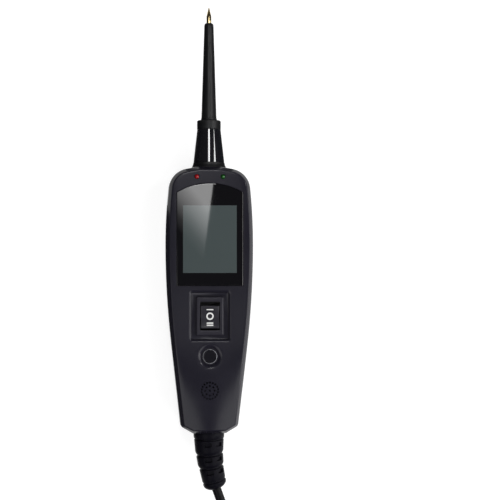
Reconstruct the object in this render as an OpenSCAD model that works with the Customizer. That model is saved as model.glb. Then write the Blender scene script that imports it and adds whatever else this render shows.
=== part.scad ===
/* [Housing] */
// Length of the housing, head to tail
body_l = 142.2; // [136:0.1:176]
// Greatest half width of the housing
half_w = 23.4; // [21.5:0.1:28.5]
// Height of the front face over the back face
body_h = 30; // [29:0.5:36]
// Height of the seam between the two housings
seam_z = 14; // [12:0.5:15]
// Wall thickness of both housings
wall = 2; // [1.6:0.1:2.4]
// Width of the bevel round the front face
bevel = 2.5; // [1.5:0.1:3]
// Radius of the corners at the tail
tail_r = 3; // [1.5:0.5:6]
// Slope of the tail's cut corners, in degrees
tail_slope = 29; // [15:1:45]
// Half width of the tail between its cut corners
tail_flat = 8.9; // [8.3:0.1:10]

/* [Display] */
// Width of the display window
window_w = 35.2; // [30:0.1:38]
// Length of the window on its straight sides
window_l = 49.2; // [44:0.1:50]
// Rise of the arched top edge of the window
window_rise = 4.9; // [2:0.1:6]
// Width of the picture area
lcd_w = 28.2; // [20:0.1:29]
// Length of the picture area
lcd_l = 35.5; // [28:0.1:37]
// Thickness of the display module
lcd_t = 2.9; // [2:0.1:3.4]

/* [Rocker switch] */
// Width of the switch frame
frame_w = 14.6; // [13.5:0.1:18]
// Length of the switch frame
frame_l = 20.6; // [19:0.1:23]
// Width of the opening that the rocker fills
rocker_gap_w = 10.4; // [9:0.1:11]
// Length of the opening that the rocker fills
rocker_gap_l = 15; // [13:0.1:16.5]
// Swing of the rocker to each side, in degrees
rocker_swing = 8; // [4:1:8]

/* [Button and buzzer] */
// Diameter of the mode button
button_d = 7.7; // [6:0.1:9.5]
// Diameter of the dish round the button
dish_d = 13.6; // [12:0.1:16]
// Diameter of the buzzer
buzzer_d = 12; // [9:0.5:14]
// Diameter of each buzzer hole
sound_hole_d = 0.95; // [0.8:0.05:1.2]

/* [Nose and probe] */
// Radius of the nose lens at its base
lens_base_r = 8.4; // [6.7:0.05:8.6]
// Radius of the nose lens at the collar
lens_top_r = 6.4; // [5.6:0.05:6.8]
// Length of the nose lens
lens_l = 17.9; // [12:0.5:24]
// Length of the probe sleeve
sleeve_l = 51.4; // [30:0.5:80]
// Radius of the probe pin
pin_r = 1.325; // [1:0.025:1.6]
// Length of the pin that shows past the sleeve
pin_out = 8.4; // [5:0.1:15]

/* [Lead] */
// Diameter of the power cord
cord_d = 5; // [3.8:0.1:5.6]
// Straight length of each run in the stored hank
hank_run = 62; // [50:1:80]
// Bend radius of the inner turns in the hank
hank_r = 14; // [13.5:0.5:18]
// Layers of cord in the hank
hank_layers = 5; // [2:1:6]

/* [Hidden] */
$fn = 64;

// Clearances: pieces of one body, a running fit, a piece that moves freely, a joint line
fit_gap = 0.05;
run_gap = 0.07;
free_gap = 0.3;
seam_gap = 0.1;
eps = 0.01;

head_y = body_l / 2;
tail_y = -body_l / 2;
front_z = body_h;
axis_z = 15;
sink = 0.5;

// Side line of the housing: two large arcs and a straight taper
wide_y = head_y - 41.8;
upper_r = 300;
lower_r = 474;
taper = 6.3;
line_y = wide_y - lower_r * tan(taper);
shoulder_r = 11.65;
shoulder_y = head_y - 11.4;
head_slope = 11;
head_flat = 6;

function side_x(y) =
    y > wide_y ? half_w - pow(y - wide_y, 2) / (2 * upper_r)
    : y > line_y ? half_w - pow(wide_y - y, 2) / (2 * lower_r)
    : half_w - pow(wide_y - line_y, 2) / (2 * lower_r) - (line_y - y) * tan(taper);

function side_slope(y) =
    y > wide_y ? atan((y - wide_y) / upper_r)
    : y > line_y ? -atan((wide_y - y) / lower_r)
    : -taper;

// Front face: flat at the head, then falling and crowned towards the tail
crown_y = -22;
crown_drop = 2;
fall_y = -30;
tail_fall = 1.8;
function ease(t) = let(u = max(0, min(1, t))) u * u * (3 - 2 * u);
function fall(y) = tail_fall * pow(max(0, (fall_y - y) / (fall_y - tail_y)), 2);
function crown(y) = crown_drop * ease((crown_y - y) / (crown_y - tail_y));
function face_z(x, y) = front_z - fall(y) - crown(y) * pow(x / side_x(y), 2);
// Back: flat under the head and the grip, rising a little at the tail
rise_y = -38;
tail_rise = 2.4;
function rise(y) = tail_rise * pow(max(0, (rise_y - y) / (rise_y - tail_y)), 2);

// Half outline of the housing from tail to head, moved in by d: each end is cut to a slope
corner_steps = 6;
cut_steps = 3;
side_steps = 15;
// Centre of the arc that touches a cut and a side that leans: [x, distance from the end]
function corner_c(reach, x_end, slope, flat, lean) =
    let(
        t = (x_end - flat + reach * (sin(slope) + cos(slope) * tan(lean) - 1 / cos(lean)))
            / (cos(slope) - sin(slope) * tan(lean))
    )
    [flat - reach * sin(slope) + t * cos(slope), reach * cos(slope) + t * sin(slope)];
function half_outline(d) =
    let(
        rt = max(tail_r - d, 1),
        rs = max(shoulder_r - d, 2),
        at = side_slope(tail_y),
        as = side_slope(shoulder_y),
        tail_c = corner_c(d + rt, side_x(tail_y), tail_slope, tail_flat, taper),
        head_x = side_x(shoulder_y) - (head_y - shoulder_y) * tan(as),
        head_c = corner_c(d + rs, head_x, head_slope, head_flat, as),
        ct = [tail_c.x, tail_y + tail_c.y],
        cs = [head_c.x, head_y - head_c.y],
        y0 = ct.y + rt * sin(at),
        y1 = cs.y + rs * sin(as),
        tail_cut = [tail_flat - d * tan(tail_slope / 2), tail_y + d],
        tail_end = ct + rt * [sin(tail_slope), -cos(tail_slope)],
        head_cut = [head_flat - d * tan(head_slope / 2), head_y - d],
        head_end = cs + rs * [sin(head_slope), cos(head_slope)]
    )
    concat(
        [for (i = [0 : cut_steps - 1]) tail_cut + (tail_end - tail_cut) * i / cut_steps],
        [for (i = [0 : corner_steps])
            let(a = tail_slope - 90 + (at + 90 - tail_slope) * i / corner_steps)
            ct + rt * [cos(a), sin(a)]],
        [for (i = [1 : side_steps - 1])
            let(y = y0 + (y1 - y0) * i / side_steps) [side_x(y) - d, y]],
        [for (i = [0 : corner_steps + 1])
            let(a = as + (90 - head_slope - as) * i / (corner_steps + 1)) cs + rs * [cos(a), sin(a)]],
        [for (i = [1 : cut_steps]) head_end + (head_cut - head_end) * i / cut_steps]
    );

// Closed outline: right side up, head across, left side down, tail across
across = [1, 0.66, 0.33, 0, -0.33, -0.66, -1];
last_col = len(across) - 1;
function outline(d) =
    let(h = half_outline(d), n = len(h) - 1)
    concat(
        h,
        [for (c = [1 : last_col - 1]) [h[n].x * across[c], h[n].y]],
        [for (k = [n : -1 : 0]) [-h[k].x, h[k].y]],
        [for (c = [last_col - 1 : -1 : 1]) [h[0].x * across[c], h[0].y]]
    );

// A level of the housing: [inset, height, rule]
// rule 0 is a flat height, 1 is measured down from the face, 2 is measured up from the back
function level_z(level, p) =
    level[2] == 0 ? level[1]
    : level[2] == 1 ? face_z(p.x, p.y) - level[1]
    : level[1] + rise(p.y) * max(0, 1 - level[1] / seam_z);

// Solid through a list of levels; the last level is closed by a crowned cap
module lofted(levels, upward = true) {
    rows = len(half_outline(0));
    m = 2 * rows + 2 * (last_col - 1);
    n = len(levels);
    rings = [for (level = levels) [for (p = outline(level[0])) [p.x, p.y, level_z(level, p)]]];
    cap = [for (k = [1 : rows - 2]) for (c = [1 : last_col - 1])
        let(q = rings[n - 1][k], x = q.x * across[c])
        [x, q.y, level_z(levels[n - 1], [x, q.y])]];
    inner = last_col - 1;
    first = n * m;
    top = (n - 1) * m;
    // Index of the cap point in row k and column c
    at = [for (k = [0 : rows - 1]) [for (c = [0 : last_col])
        c == 0 ? top + k
        : c == last_col ? top + rows + inner + (rows - 1 - k)
        : k == rows - 1 ? top + rows + c - 1
        : k == 0 ? top + m - c
        : first + (k - 1) * inner + c - 1]];
    walls = [for (i = [0 : n - 2]) for (j = [0 : m - 1])
        let(a = i * m + j, b = i * m + (j + 1) % m, c = b + m, d = a + m)
        each [[a, c, b], [a, d, c]]];
    lid = [for (k = [0 : rows - 2]) for (c = [0 : last_col - 1])
        let(a = at[k][c], b = at[k + 1][c], e = at[k + 1][c + 1], f = at[k][c + 1])
        each [[a, e, b], [a, f, e]]];
    // The base is flat: strips across it, and a fan at each end
    left = [for (k = [0 : rows - 1]) rows + inner + rows - 1 - k];
    tail_edge = concat([left[0]], [for (c = [inner : -1 : 1]) m - c], [0]);
    head_edge = concat([rows - 1], [for (c = [1 : inner]) rows + c - 1], [left[rows - 1]]);
    base = concat(
        [for (k = [1 : rows - 3]) each [[k, k + 1, left[k + 1]], [k, left[k + 1], left[k]]]],
        [for (i = [0 : inner]) [1, tail_edge[i], tail_edge[i + 1]]],
        [for (i = [0 : inner]) [rows - 2, head_edge[i], head_edge[i + 1]]],
        [[1, left[1], left[0]], [rows - 2, left[rows - 1], left[rows - 2]]]
    );
    faces = concat(walls, lid, base);
    polyhedron(
        points = concat([for (r = rings) each r], cap),
        faces = upward ? faces : [for (f = faces) [for (i = [len(f) - 1 : -1 : 0]) f[i]]]
    );
}

// Turned piece on the probe's axis; its profile gives [radius, distance along +Y]
module on_axis(y = 0) {
    translate([0, y, axis_z])
        rotate([-90, 0, 0])
            children();
}

module rounded_box(size, r, z0) {
    translate([0, 0, z0])
        linear_extrude(size.z)
            rounded_rect(size.x, size.y, r);
}

// Rounded rectangle from plain shapes, so that its corners stay true arcs
module rounded_rect(w, l, r) {
    square([w - 2 * r, l], center = true);
    square([w, l - 2 * r], center = true);
    for (x = [-1, 1], y = [-1, 1])
        translate([x * (w / 2 - r), y * (l / 2 - r)])
            circle(r);
}

// Places on the housing
ledge_z = front_z - 1.2;
ceiling_z = front_z - wall - 0.2;
window_y = head_y - 63.4;
window_r = (pow(window_w / 2, 2) + pow(window_rise, 2)) / (2 * window_rise);
lcd_y = window_y + 24.6;
switch_y = head_y - 79.2;
button_y = head_y - 100.5;
buzzer_y = head_y - 118.5;
lamp_x = 6.9;
lamp_y = head_y - 5.9;
lamp_r = 1.2;

recess_w = frame_w + 7.8;
recess_l = frame_l + 6.8;
recess_slope = 1.4;
recess_depth = 1.6;
recess_z = front_z - recess_depth;
switch_hole_w = frame_w - 1.4;
switch_hole_l = frame_l - 1.4;

dish_depth = 1.3;
guide_z = front_z - 3;
button_hole_r = button_d / 2 + run_gap;

// Screws that join the housings, and screws that hold the board
screw_r = 1.15;
screw_head_r = 2.1;
boss_r = 2.7;
head_screw_y = head_y - 13.6;
head_screw_x = side_x(head_screw_y) - wall - boss_r - 2.4;
tail_screw_y = tail_y + 14.4;
tail_screw_x = side_x(tail_screw_y) - wall - boss_r - 1.3;
screw_places = [[head_screw_x, head_screw_y], [-head_screw_x, head_screw_y],
    [tail_screw_x, tail_screw_y], [-tail_screw_x, tail_screw_y]];
post_places = [[13.4, button_y + 3.2], [-13.4, button_y + 3.2], [11.4, buzzer_y - 3], [-11.4, buzzer_y - 3]];
post_r = 1.9;
post_hole_r = 0.8;

// Board and what stands on it
board_t = 1.6;
board_top = front_z - 7.2;
board_z = board_top - board_t;
module_w = lcd_w + 5.8;
module_l = lcd_l + 10.1;
module_y = lcd_y - 2.05;

neck_hole_r = lens_base_r - 0.65;
neck_y = head_y - sink;
boot_core_r = cord_d / 2 + 2.3;
boot_hole_r = boot_core_r + 1.4;
boot_base_r = boot_core_r + 3.6;
boot_y = tail_y + sink;

function window_points(inset, steps = 16) =
    let(
        w = window_w / 2 - inset,
        r = window_r - inset,
        cy = window_y + window_l + window_rise - window_r,
        a0 = acos(w / r)
    )
    concat(
        [[-w, window_y + inset], [w, window_y + inset]],
        [for (i = [0 : steps]) let(a = a0 + (180 - 2 * a0) * i / steps) [r * cos(a), cy + r * sin(a)]]
    );

module front_outer() {
    lofted([
        [0.35, seam_z, 0],
        [0, seam_z + 0.4, 0],
        [0.12, seam_z + 6, 0],
        [0.4, 3.6, 1],
        [0.7, 2.7, 1],
        [bevel - 0.45, 0.4, 1],
        [bevel, 0, 1]
    ]);
}

module front_inner() {
    lofted([
        [wall, seam_z - 1, 0],
        [wall + 0.1, seam_z + 6, 0],
        [wall + 0.4, wall + 3.6, 1],
        [wall + bevel, wall + 0.2, 1]
    ]);
}

module rear_outer() {
    lofted([
        [0.35, seam_z, 0],
        [0, seam_z - 0.4, 0],
        [0.25, 10, 2],
        [1, 6.4, 2],
        [2.4, 3.5, 2],
        [4.4, 1.4, 2],
        [6.6, 0.3, 2],
        [8.4, 0, 2]
    ], false);
}

module rear_inner() {
    lofted([
        [wall, seam_z + 1, 0],
        [wall + 0.2, 10, 2],
        [wall + 1.1, 6.6, 2],
        [wall + 2.6, 4, 2],
        [wall + 5, wall + 0.4, 2],
        [wall + 6.6, wall, 2]
    ], false);
}

// Holes for the buzzer: a centre hole and two rings
module sound_holes() {
    for (ring = [[0, 1], [2.5, 8], [4.35, 18]], i = [0 : ring[1] - 1])
        translate([0, buzzer_y, front_z - 6])
            rotate(360 * i / ring[1] + 90)
                translate([ring[0], 0, 0])
                    cylinder(d = sound_hole_d, h = 8, $fn = 16);
}

// The recess round the switch: a flat floor with sloped walls
module switch_recess() {
    translate([0, switch_y, recess_z])
        hull() {
            linear_extrude(eps)
                rounded_rect(recess_w - 2 * recess_slope, recess_l - 2 * recess_slope, 1.2);
            translate([0, 0, recess_depth + 0.1])
                linear_extrude(eps)
                    rounded_rect(recess_w, recess_l, 2);
        }
}

// Openings in the end walls, which both housings share
module end_openings() {
    on_axis(head_y - 6)
        cylinder(r = neck_hole_r, h = 8);
    on_axis(neck_y)
        cylinder(r = lens_base_r + 1.15, h = 3);
    on_axis(floor_y - 0.2)
        cylinder(r = neck_flange_r + seam_gap, h = neck_flange_y + seam_gap - floor_y + 0.2);
    on_axis(tail_y - 2)
        cylinder(r = boot_hole_r, h = 8);
    on_axis(boot_y + 5.4 - boot_flange_t - seam_gap)
        cylinder(r = boot_flange_r + seam_gap, h = boot_flange_t + 0.3);
    on_axis(tail_y - 3)
        cylinder(r = boot_base_r + seam_gap, h = 3 + sink);
}

module front_housing() {
    color([0.17, 0.17, 0.19])
        difference() {
            union() {
                difference() {
                    front_outer();
                    front_inner();
                }
                intersection() {
                    front_outer();
                    front_bosses();
                }
            }
            translate([0, 0, ledge_z])
                linear_extrude(3)
                    polygon(window_points(0));
            translate([0, lcd_y, ceiling_z - 2])
                linear_extrude(6)
                    rounded_rect(lcd_w + 2.6, lcd_l + 2.6, 1);
            switch_recess();
            translate([0, switch_y, front_z - 7])
                linear_extrude(8)
                    square([switch_hole_w, switch_hole_l], center = true);
            translate([0, button_y, front_z - dish_depth])
                cylinder(r1 = dish_d / 2 - 1.9, r2 = dish_d / 2, h = dish_depth + eps);
            translate([0, button_y, front_z - 7])
                cylinder(r = button_hole_r, h = 8);
            sound_holes();
            for (x = [-lamp_x, lamp_x])
                translate([x, lamp_y, front_z - 5])
                    cylinder(r = lamp_r + fit_gap, h = 6);
            end_openings();
            for (p = screw_places)
                translate([p.x, p.y, seam_z - 1])
                    cylinder(r = screw_r, h = 9);
            for (p = post_places)
                translate([p.x, p.y, board_top - 1])
                    cylinder(r = post_hole_r, h = 4.5);
        }
}

// Screw bosses, board posts, the button's guide, the lamp tubes and the buzzer's ring
module front_bosses() {
    for (p = screw_places)
        translate([p.x, p.y, seam_z])
            cylinder(r = boss_r, h = front_z - seam_z - 1.6);
    for (p = post_places)
        translate([p.x, p.y, board_top])
            cylinder(r = post_r, h = front_z - board_top - 1.4);
    translate([0, button_y, guide_z])
        cylinder(r = button_d / 2 + 2.2, h = 1.6);
    for (x = [-lamp_x, lamp_x])
        translate([x, lamp_y, front_z - 4])
            cylinder(r = lamp_r + 1, h = 3);
    translate([0, buzzer_y, front_z - 4.2])
        difference() {
            cylinder(r = buzzer_d / 2 - 0.2, h = 3);
            translate([0, 0, -1])
                cylinder(r = buzzer_d / 2 - 1.2, h = 5);
        }
}

// Lip that stands up inside the front housing and locates the two on each other
lip_t = 1;
lip_h = 1.5;
module seam_lip() {
    difference() {
        lofted([[wall + seam_gap, seam_z - 2, 0], [wall + seam_gap + 0.05, seam_z + lip_h, 0]]);
        lofted([[wall + seam_gap + lip_t, seam_z - 3, 0], [wall + seam_gap + lip_t, seam_z + lip_h + 1, 0]]);
    }
}

// Counterbored columns under the front bosses, and posts for the cord clamp
module rear_bosses() {
    for (p = screw_places)
        translate([p.x, p.y, 0.6])
            cylinder(r = boss_r + 0.5, h = seam_z - 0.6 - seam_gap);
    for (x = [-6, 6])
        translate([x, clamp_y, 0.6])
            cylinder(r = 2, h = clamp_z - 0.6);
}

// Shallow bare recess in the back, as for a label
label_w = 30;
label_l = 40;
label_y = 30;
label_depth = 0.4;
module rear_housing() {
    color([0.15, 0.15, 0.17])
        difference() {
            union() {
                difference() {
                    rear_outer();
                    rear_inner();
                }
                intersection() {
                    rear_outer();
                    rear_bosses();
                }
                seam_lip();
            }
            end_openings();
            translate([0, label_y, -1])
                linear_extrude(1 + label_depth)
                    rounded_rect(label_w, label_l, 2.5);
            for (p = screw_places) {
                translate([p.x, p.y, -1])
                    cylinder(r = screw_r + 0.2, h = seam_z + 2);
                translate([p.x, p.y, -1])
                    cylinder(r = screw_head_r + 0.3, h = screw_seat_z + 1);
            }
            for (x = [-6, 6])
                translate([x, clamp_y, clamp_z - 4])
                    cylinder(r = 0.8, h = 6);
        }
}

module display_window() {
    color([0.05, 0.05, 0.06])
        translate([0, 0, ledge_z])
            linear_extrude(front_z - ledge_z - 0.1)
                polygon(window_points(fit_gap + 0.05));
}

gasket_t = 0.6;
module display_gasket() {
    color([0.1, 0.1, 0.1])
        translate([0, lcd_y, ceiling_z - gasket_t])
            linear_extrude(gasket_t)
                difference() {
                    rounded_rect(lcd_w + 5, lcd_l + 5, 1);
                    square([lcd_w + 1.6, lcd_l + 1.6], center = true);
                }
}

// Glass in a metal tray, with the flat cable's tongue at the lower end
module display_module() {
    top = ceiling_z - gasket_t;
    color([0.29, 0.32, 0.32])
        translate([0, module_y, top - lcd_t])
            difference() {
                linear_extrude(lcd_t)
                    rounded_rect(module_w, module_l, 0.6);
                translate([0, lcd_y - module_y, lcd_t - 0.3])
                    linear_extrude(1)
                        square([lcd_w, lcd_l], center = true);
            }
    color([0.7, 0.45, 0.15])
        translate([-8, module_y - module_l / 2 + 1.5, board_top])
            cube([16, 4, top - lcd_t - board_top]);
}

board_clear = 1;
module main_board() {
    color([0.05, 0.3, 0.15])
        translate([0, 0, board_z])
            difference() {
                linear_extrude(board_t)
                    difference() {
                        polygon([
                            [side_x(board_end_y) - wall - board_clear, board_end_y],
                            [side_x(line_y) - wall - board_clear - 0.6, line_y],
                            [module_w / 2 + 0.6, window_y],
                            [module_w / 2 + 0.6, board_head_y],
                            [-module_w / 2 - 0.6, board_head_y],
                            [-module_w / 2 - 0.6, window_y],
                            [-side_x(line_y) + wall + board_clear + 0.6, line_y],
                            [-side_x(board_end_y) + wall + board_clear, board_end_y]
                        ]);
                        translate([0, switch_y])
                            square([switch_hole_w + 0.6, switch_hole_l + 0.6], center = true);
                    }
                for (p = post_places)
                    translate([p.x, p.y, -1])
                        cylinder(r = post_hole_r + 0.2, h = 4);
            }
}
board_head_y = lcd_y + lcd_l / 2 + 4;
board_end_y = buzzer_y - 6.3;

// Packages under the board, and the display's socket
module board_components() {
    below = board_z;
    color([0.08, 0.08, 0.09]) {
        translate([-5, lcd_y - 5, below - 1.6])
            cube([10, 10, 1.6]);
        translate([-13, lcd_y + 6, below - 1.8])
            cube([6, 5, 1.8]);
        translate([7, lcd_y + 6, below - 1.8])
            cube([6, 5, 1.8]);
        for (i = [0 : 3])
            translate([-12 + 7 * i, lcd_y - 15, below - 1.1])
                cube([3.2, 1.8, 1.1]);
        for (x = [-9, 9])
            translate([x, button_y - 4, below - 5])
                cylinder(r = 2.5, h = 5);
        for (x = [-2.6, 2.6])
            translate([x - 1.2, board_end_y + 1, below - 4])
                cube([2.4, 5, 4]);
    }
}

// Switch frame and case: a bevelled flange with the rocker's well and blind pivot holes
frame_t = 1.8;
frame_top = recess_z + frame_t;
well_z = frame_top - 10.4;
case_z = frame_top - 14.2;
pivot_z = frame_top - 5.2;
pivot_y = switch_y - 0.5;
pivot_r = 1.2;
pivot_reach = rocker_gap_w / 2 + 0.9;
module switch_body() {
    color([0.09, 0.09, 0.1])
        translate([0, switch_y, 0])
            difference() {
                union() {
                    hull() {
                        rounded_box([frame_w, frame_l, frame_t - 0.6], 0.8, recess_z);
                        rounded_box([frame_w - 1.2, frame_l - 1.2, frame_t], 0.6, recess_z);
                    }
                    translate([0, 0, case_z])
                        linear_extrude(recess_z - case_z + 0.2)
                            square([switch_hole_w - 0.2, switch_hole_l - 0.2], center = true);
                    for (x = [-1, 1])
                        translate([x * switch_hole_w / 2, 0, ceiling_z - 1.4])
                            rotate([90, 0, 0])
                                cylinder(r = 0.7, h = 6, center = true, $fn = 24);
                }
                translate([0, 0, (well_z + frame_top + 1) / 2])
                    cube([rocker_gap_w, rocker_gap_l, frame_top + 1 - well_z], center = true);
                translate([0, pivot_y - switch_y, pivot_z])
                    rotate([0, 90, 0])
                        cylinder(r = pivot_r + run_gap, h = 2 * pivot_reach + 0.4, center = true);
            }
}

// Rocker: dished top, tapered cheeks and two trunnions
rocker_w = rocker_gap_w - 2 * free_gap;
rocker_top = frame_top + 0.5;
rocker_end_gap = 0.3;
rocker_room = rocker_gap_l / 2 - abs(pivot_y - switch_y) - rocker_end_gap;
rocker_l = 2 * (rocker_room - (rocker_top - pivot_z) * sin(rocker_swing)) / cos(rocker_swing);
rocker_low = pivot_z - 2.6;
dish_r = 34;
module switch_rocker() {
    half = rocker_l / 2;
    up = rocker_top - pivot_z;
    down = rocker_low - pivot_z;
    sag = dish_r - sqrt(dish_r * dish_r - half * half);
    color([0.13, 0.13, 0.14])
        translate([0, pivot_y, pivot_z]) {
            difference() {
                rotate([90, 0, 90])
                    translate([0, 0, -rocker_w / 2])
                        linear_extrude(rocker_w)
                            polygon([
                                [-half + 1.6, down],
                                [half - 1.6, down],
                                [half, up - 2],
                                [half, up],
                                [-half, up],
                                [-half, up - 2]
                            ]);
                translate([0, 0, up - sag + dish_r])
                    rotate([0, 90, 0])
                        cylinder(r = dish_r, h = rocker_w + 2, center = true, $fn = 180);
            }
            rotate([0, 90, 0])
                cylinder(r = pivot_r, h = 2 * pivot_reach, center = true);
        }
}

module switch_terminals() {
    color([0.8, 0.68, 0.35])
        for (y = [-6, 0, 6])
            translate([-2.4, switch_y + y - 0.4, case_z - 6])
                difference() {
                    cube([4.8, 0.8, 6]);
                    translate([2.4, -1, 2])
                        rotate([-90, 0, 0])
                            cylinder(r = 0.8, h = 3, $fn = 24);
                }
}

// Mode button: a flanged cap whose plunger presses the switch on the board
button_travel = 0.5;
button_low = guide_z - 1.2;
flange_top = guide_z - 0.2;
module mode_button() {
    color([0.1, 0.1, 0.11])
        translate([0, button_y, 0])
            rotate_extrude()
                polygon([
                    [0, button_low],
                    [button_d / 2 + 1.1, button_low],
                    [button_d / 2 + 1.1, flange_top],
                    [button_d / 2, flange_top],
                    [button_d / 2, front_z - 0.7],
                    [button_d / 2 - 0.35, front_z - 0.3],
                    [button_d / 2 - 0.8, front_z - 0.3],
                    [button_d / 2 - 1.2, front_z - 0.6],
                    [0, front_z - 0.6]
                ]);
}

plunger_r = 1.6;
tact_top = board_top + 2;
module mode_switch() {
    color([0.7, 0.7, 0.72])
        difference() {
            translate([-3, button_y - 3, board_top])
                cube([6, 6, tact_top - board_top]);
            translate([0, button_y, board_top + 0.5])
                cylinder(r = plunger_r + run_gap, h = 3);
        }
}

module mode_switch_plunger() {
    color([0.15, 0.1, 0.1])
        translate([0, button_y, board_top + 0.5 + button_travel + 0.1])
            cylinder(r = plunger_r, h = button_low - board_top - 0.6 - button_travel);
}

buzzer_top = front_z - 4.3;
module buzzer() {
    color([0.06, 0.06, 0.07])
        translate([0, buzzer_y, board_top])
            difference() {
                cylinder(r = buzzer_d / 2, h = buzzer_top - board_top);
                translate([0, 0, buzzer_top - board_top - 0.8])
                    cylinder(r = 1.2, h = 2);
            }
}

// Round-topped lamp with a flange, standing on its lead
module lamp() {
    translate([0, lamp_y, 0]) {
        translate([0, 0, front_z - 5.4])
            cylinder(r = lamp_r + 0.5, h = 1.3);
        translate([0, 0, front_z - 5.4])
            cylinder(r = lamp_r, h = 5.2);
        translate([0, 0, front_z - 0.6])
            intersection() {
                sphere(r = lamp_r, $fn = 48);
                cylinder(r = 3, h = 3);
            }
    }
}

module red_lamp() {
    color([0.7, 0.1, 0.1])
        translate([-lamp_x, 0, 0])
            lamp();
}

module green_lamp() {
    color([0.1, 0.6, 0.1])
        translate([lamp_x, 0, 0])
            lamp();
}

// Nose: the neck ring is a cup whose floor carries the tip socket
ring_l = 2.9;
ring_floor = 2;
floor_y = neck_y - 4.6;
neck_flange_r = neck_hole_r + 1.3;
neck_flange_y = head_y - wall - 0.6;
socket_r = 2.5;
lens_wall = 1.2;
spigot_r = lens_base_r - 1.65;
module neck_ring() {
    color([0.16, 0.16, 0.17])
        on_axis()
            rotate_extrude()
                polygon([
                    [socket_r + fit_gap, floor_y],
                    [neck_flange_r, floor_y],
                    [neck_flange_r, neck_flange_y],
                    [neck_hole_r - seam_gap, neck_flange_y],
                    [neck_hole_r - seam_gap, neck_y],
                    [lens_base_r + 0.9, neck_y],
                    [lens_base_r + 0.8, neck_y + 0.6],
                    [lens_base_r + 0.1, neck_y + ring_l - 0.6],
                    [lens_base_r + 0.1, neck_y + ring_l],
                    [spigot_r + fit_gap, neck_y + ring_l],
                    [spigot_r + fit_gap, floor_y + ring_floor],
                    [socket_r + fit_gap, floor_y + ring_floor]
                ]);
}

lens_y = neck_y + ring_l;
module nose_lens() {
    color([0.06, 0.06, 0.07])
        on_axis(lens_y)
            rotate_extrude()
                polygon([
                    [spigot_r, -2.4],
                    [spigot_r, 0],
                    [lens_base_r, 0],
                    [lens_top_r, lens_l],
                    [lens_top_r - 2, lens_l],
                    [lens_top_r - 2, lens_l - 1.5],
                    [lens_top_r - lens_wall, lens_l - 3],
                    [spigot_r - lens_wall, 1],
                    [spigot_r - lens_wall, -2.4]
                ]);
}

lamp_board_y = lens_y - 3.7;
module lamp_board() {
    color([0.8, 0.8, 0.78])
        on_axis(lamp_board_y)
            difference() {
                cylinder(r = spigot_r - 0.1, h = 1.2);
                translate([0, 0, -1])
                    cylinder(r = socket_r + fit_gap, h = 4);
            }
}

light_r = (spigot_r - lens_wall - socket_r) / 2 - 0.4;
light_ring = (socket_r + spigot_r - lens_wall) / 2;
module work_lights() {
    color([0.95, 0.95, 0.85])
        for (i = [0 : 3])
            on_axis(lamp_board_y + 1.2)
                rotate(45 + 90 * i)
                    translate([light_ring, 0, 0]) {
                        cylinder(r = light_r, h = 1.6);
                        translate([0, 0, 1.6])
                            sphere(r = light_r, $fn = 32);
                    }
}

collar_l = 4.9;
collar_y = lens_y + lens_l;
collar_slope = 1.25;
module tip_socket() {
    color([0.8, 0.65, 0.35])
        on_axis()
            rotate_extrude()
                polygon([
                    [0, floor_y - 4.6],
                    [0.8, floor_y - 4.6],
                    [0.8, floor_y - 1.4],
                    [socket_r + 1.1, floor_y - 1.4],
                    [socket_r + 1.1, floor_y],
                    [socket_r, floor_y],
                    [socket_r, collar_y + collar_l - 0.5],
                    [pin_core_r + fit_gap, collar_y + collar_l - 0.5],
                    [pin_core_r + fit_gap, collar_y - 12],
                    [0, collar_y - 12]
                ]);
}

module tip_collar() {
    color([0.17, 0.17, 0.18])
        on_axis(collar_y)
            rotate_extrude()
                polygon([
                    [lens_top_r - 2 - fit_gap, -1.5],
                    [lens_top_r - 2 - fit_gap, 0],
                    [lens_top_r, 0],
                    [lens_top_r, collar_l - 0.4],
                    [lens_top_r - 0.4, collar_l],
                    [sleeve_base_r + 0.2, collar_l + 0.35],
                    [sleeve_base_r + 0.2, collar_l + collar_slope],
                    [pin_r + 0.3, collar_l + collar_slope],
                    [pin_r + 0.3, collar_l],
                    [socket_r + fit_gap, collar_l - 0.4],
                    [socket_r + fit_gap, -1.5]
                ]);
}

sleeve_y = collar_y + collar_l + collar_slope;
sleeve_base_r = 4.05;
sleeve_top_r = 2.5;
module probe_sleeve() {
    color([0.2, 0.2, 0.21])
        on_axis(sleeve_y)
            rotate_extrude()
                polygon([
                    [pin_core_r + fit_gap, 0],
                    [sleeve_base_r + 0.15, 0],
                    [sleeve_base_r + 0.15, 0.9],
                    [sleeve_base_r, 1.1],
                    [sleeve_top_r, sleeve_l - 1.4],
                    [pin_r + 0.25, sleeve_l],
                    [pin_core_r + fit_gap, sleeve_l]
                ]);
}

pin_cone = 4.6;
pin_core_r = pin_r - 0.325;
pin_foot_y = collar_y - 11.8;
module probe_pin() {
    end = sleeve_y + sleeve_l + pin_out;
    color([0.8, 0.62, 0.3])
        on_axis()
            rotate_extrude()
                polygon([
                    [0, pin_foot_y],
                    [pin_core_r, pin_foot_y],
                    [pin_core_r, sleeve_y + sleeve_l],
                    [pin_r, sleeve_y + sleeve_l],
                    [pin_r, end - pin_cone],
                    [0.25, end - 0.1],
                    [0, end]
                ]);
}

// Strain relief: moulded segments that follow a bend to the right
boot_bend_r = 95;
boot_start = [0, boot_y - 4.2];
function boot_at(s) =
    let(a = max(0, s) * 180 / (PI * boot_bend_r))
    [boot_start.x + boot_bend_r * (1 - cos(a)), boot_start.y - boot_bend_r * sin(a) - min(0, s), a];

// Frame at a distance s along the boot: its own +Z runs towards the boot's end
module at_boot(s) {
    p = boot_at(s);
    translate([p.x, p.y, axis_z])
        rotate([0, 0, p[2]])
            rotate([90, 0, 0])
                children();
}

boot_flange_r = boot_hole_r + 1.4;
boot_flange_t = 3.2;
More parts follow.
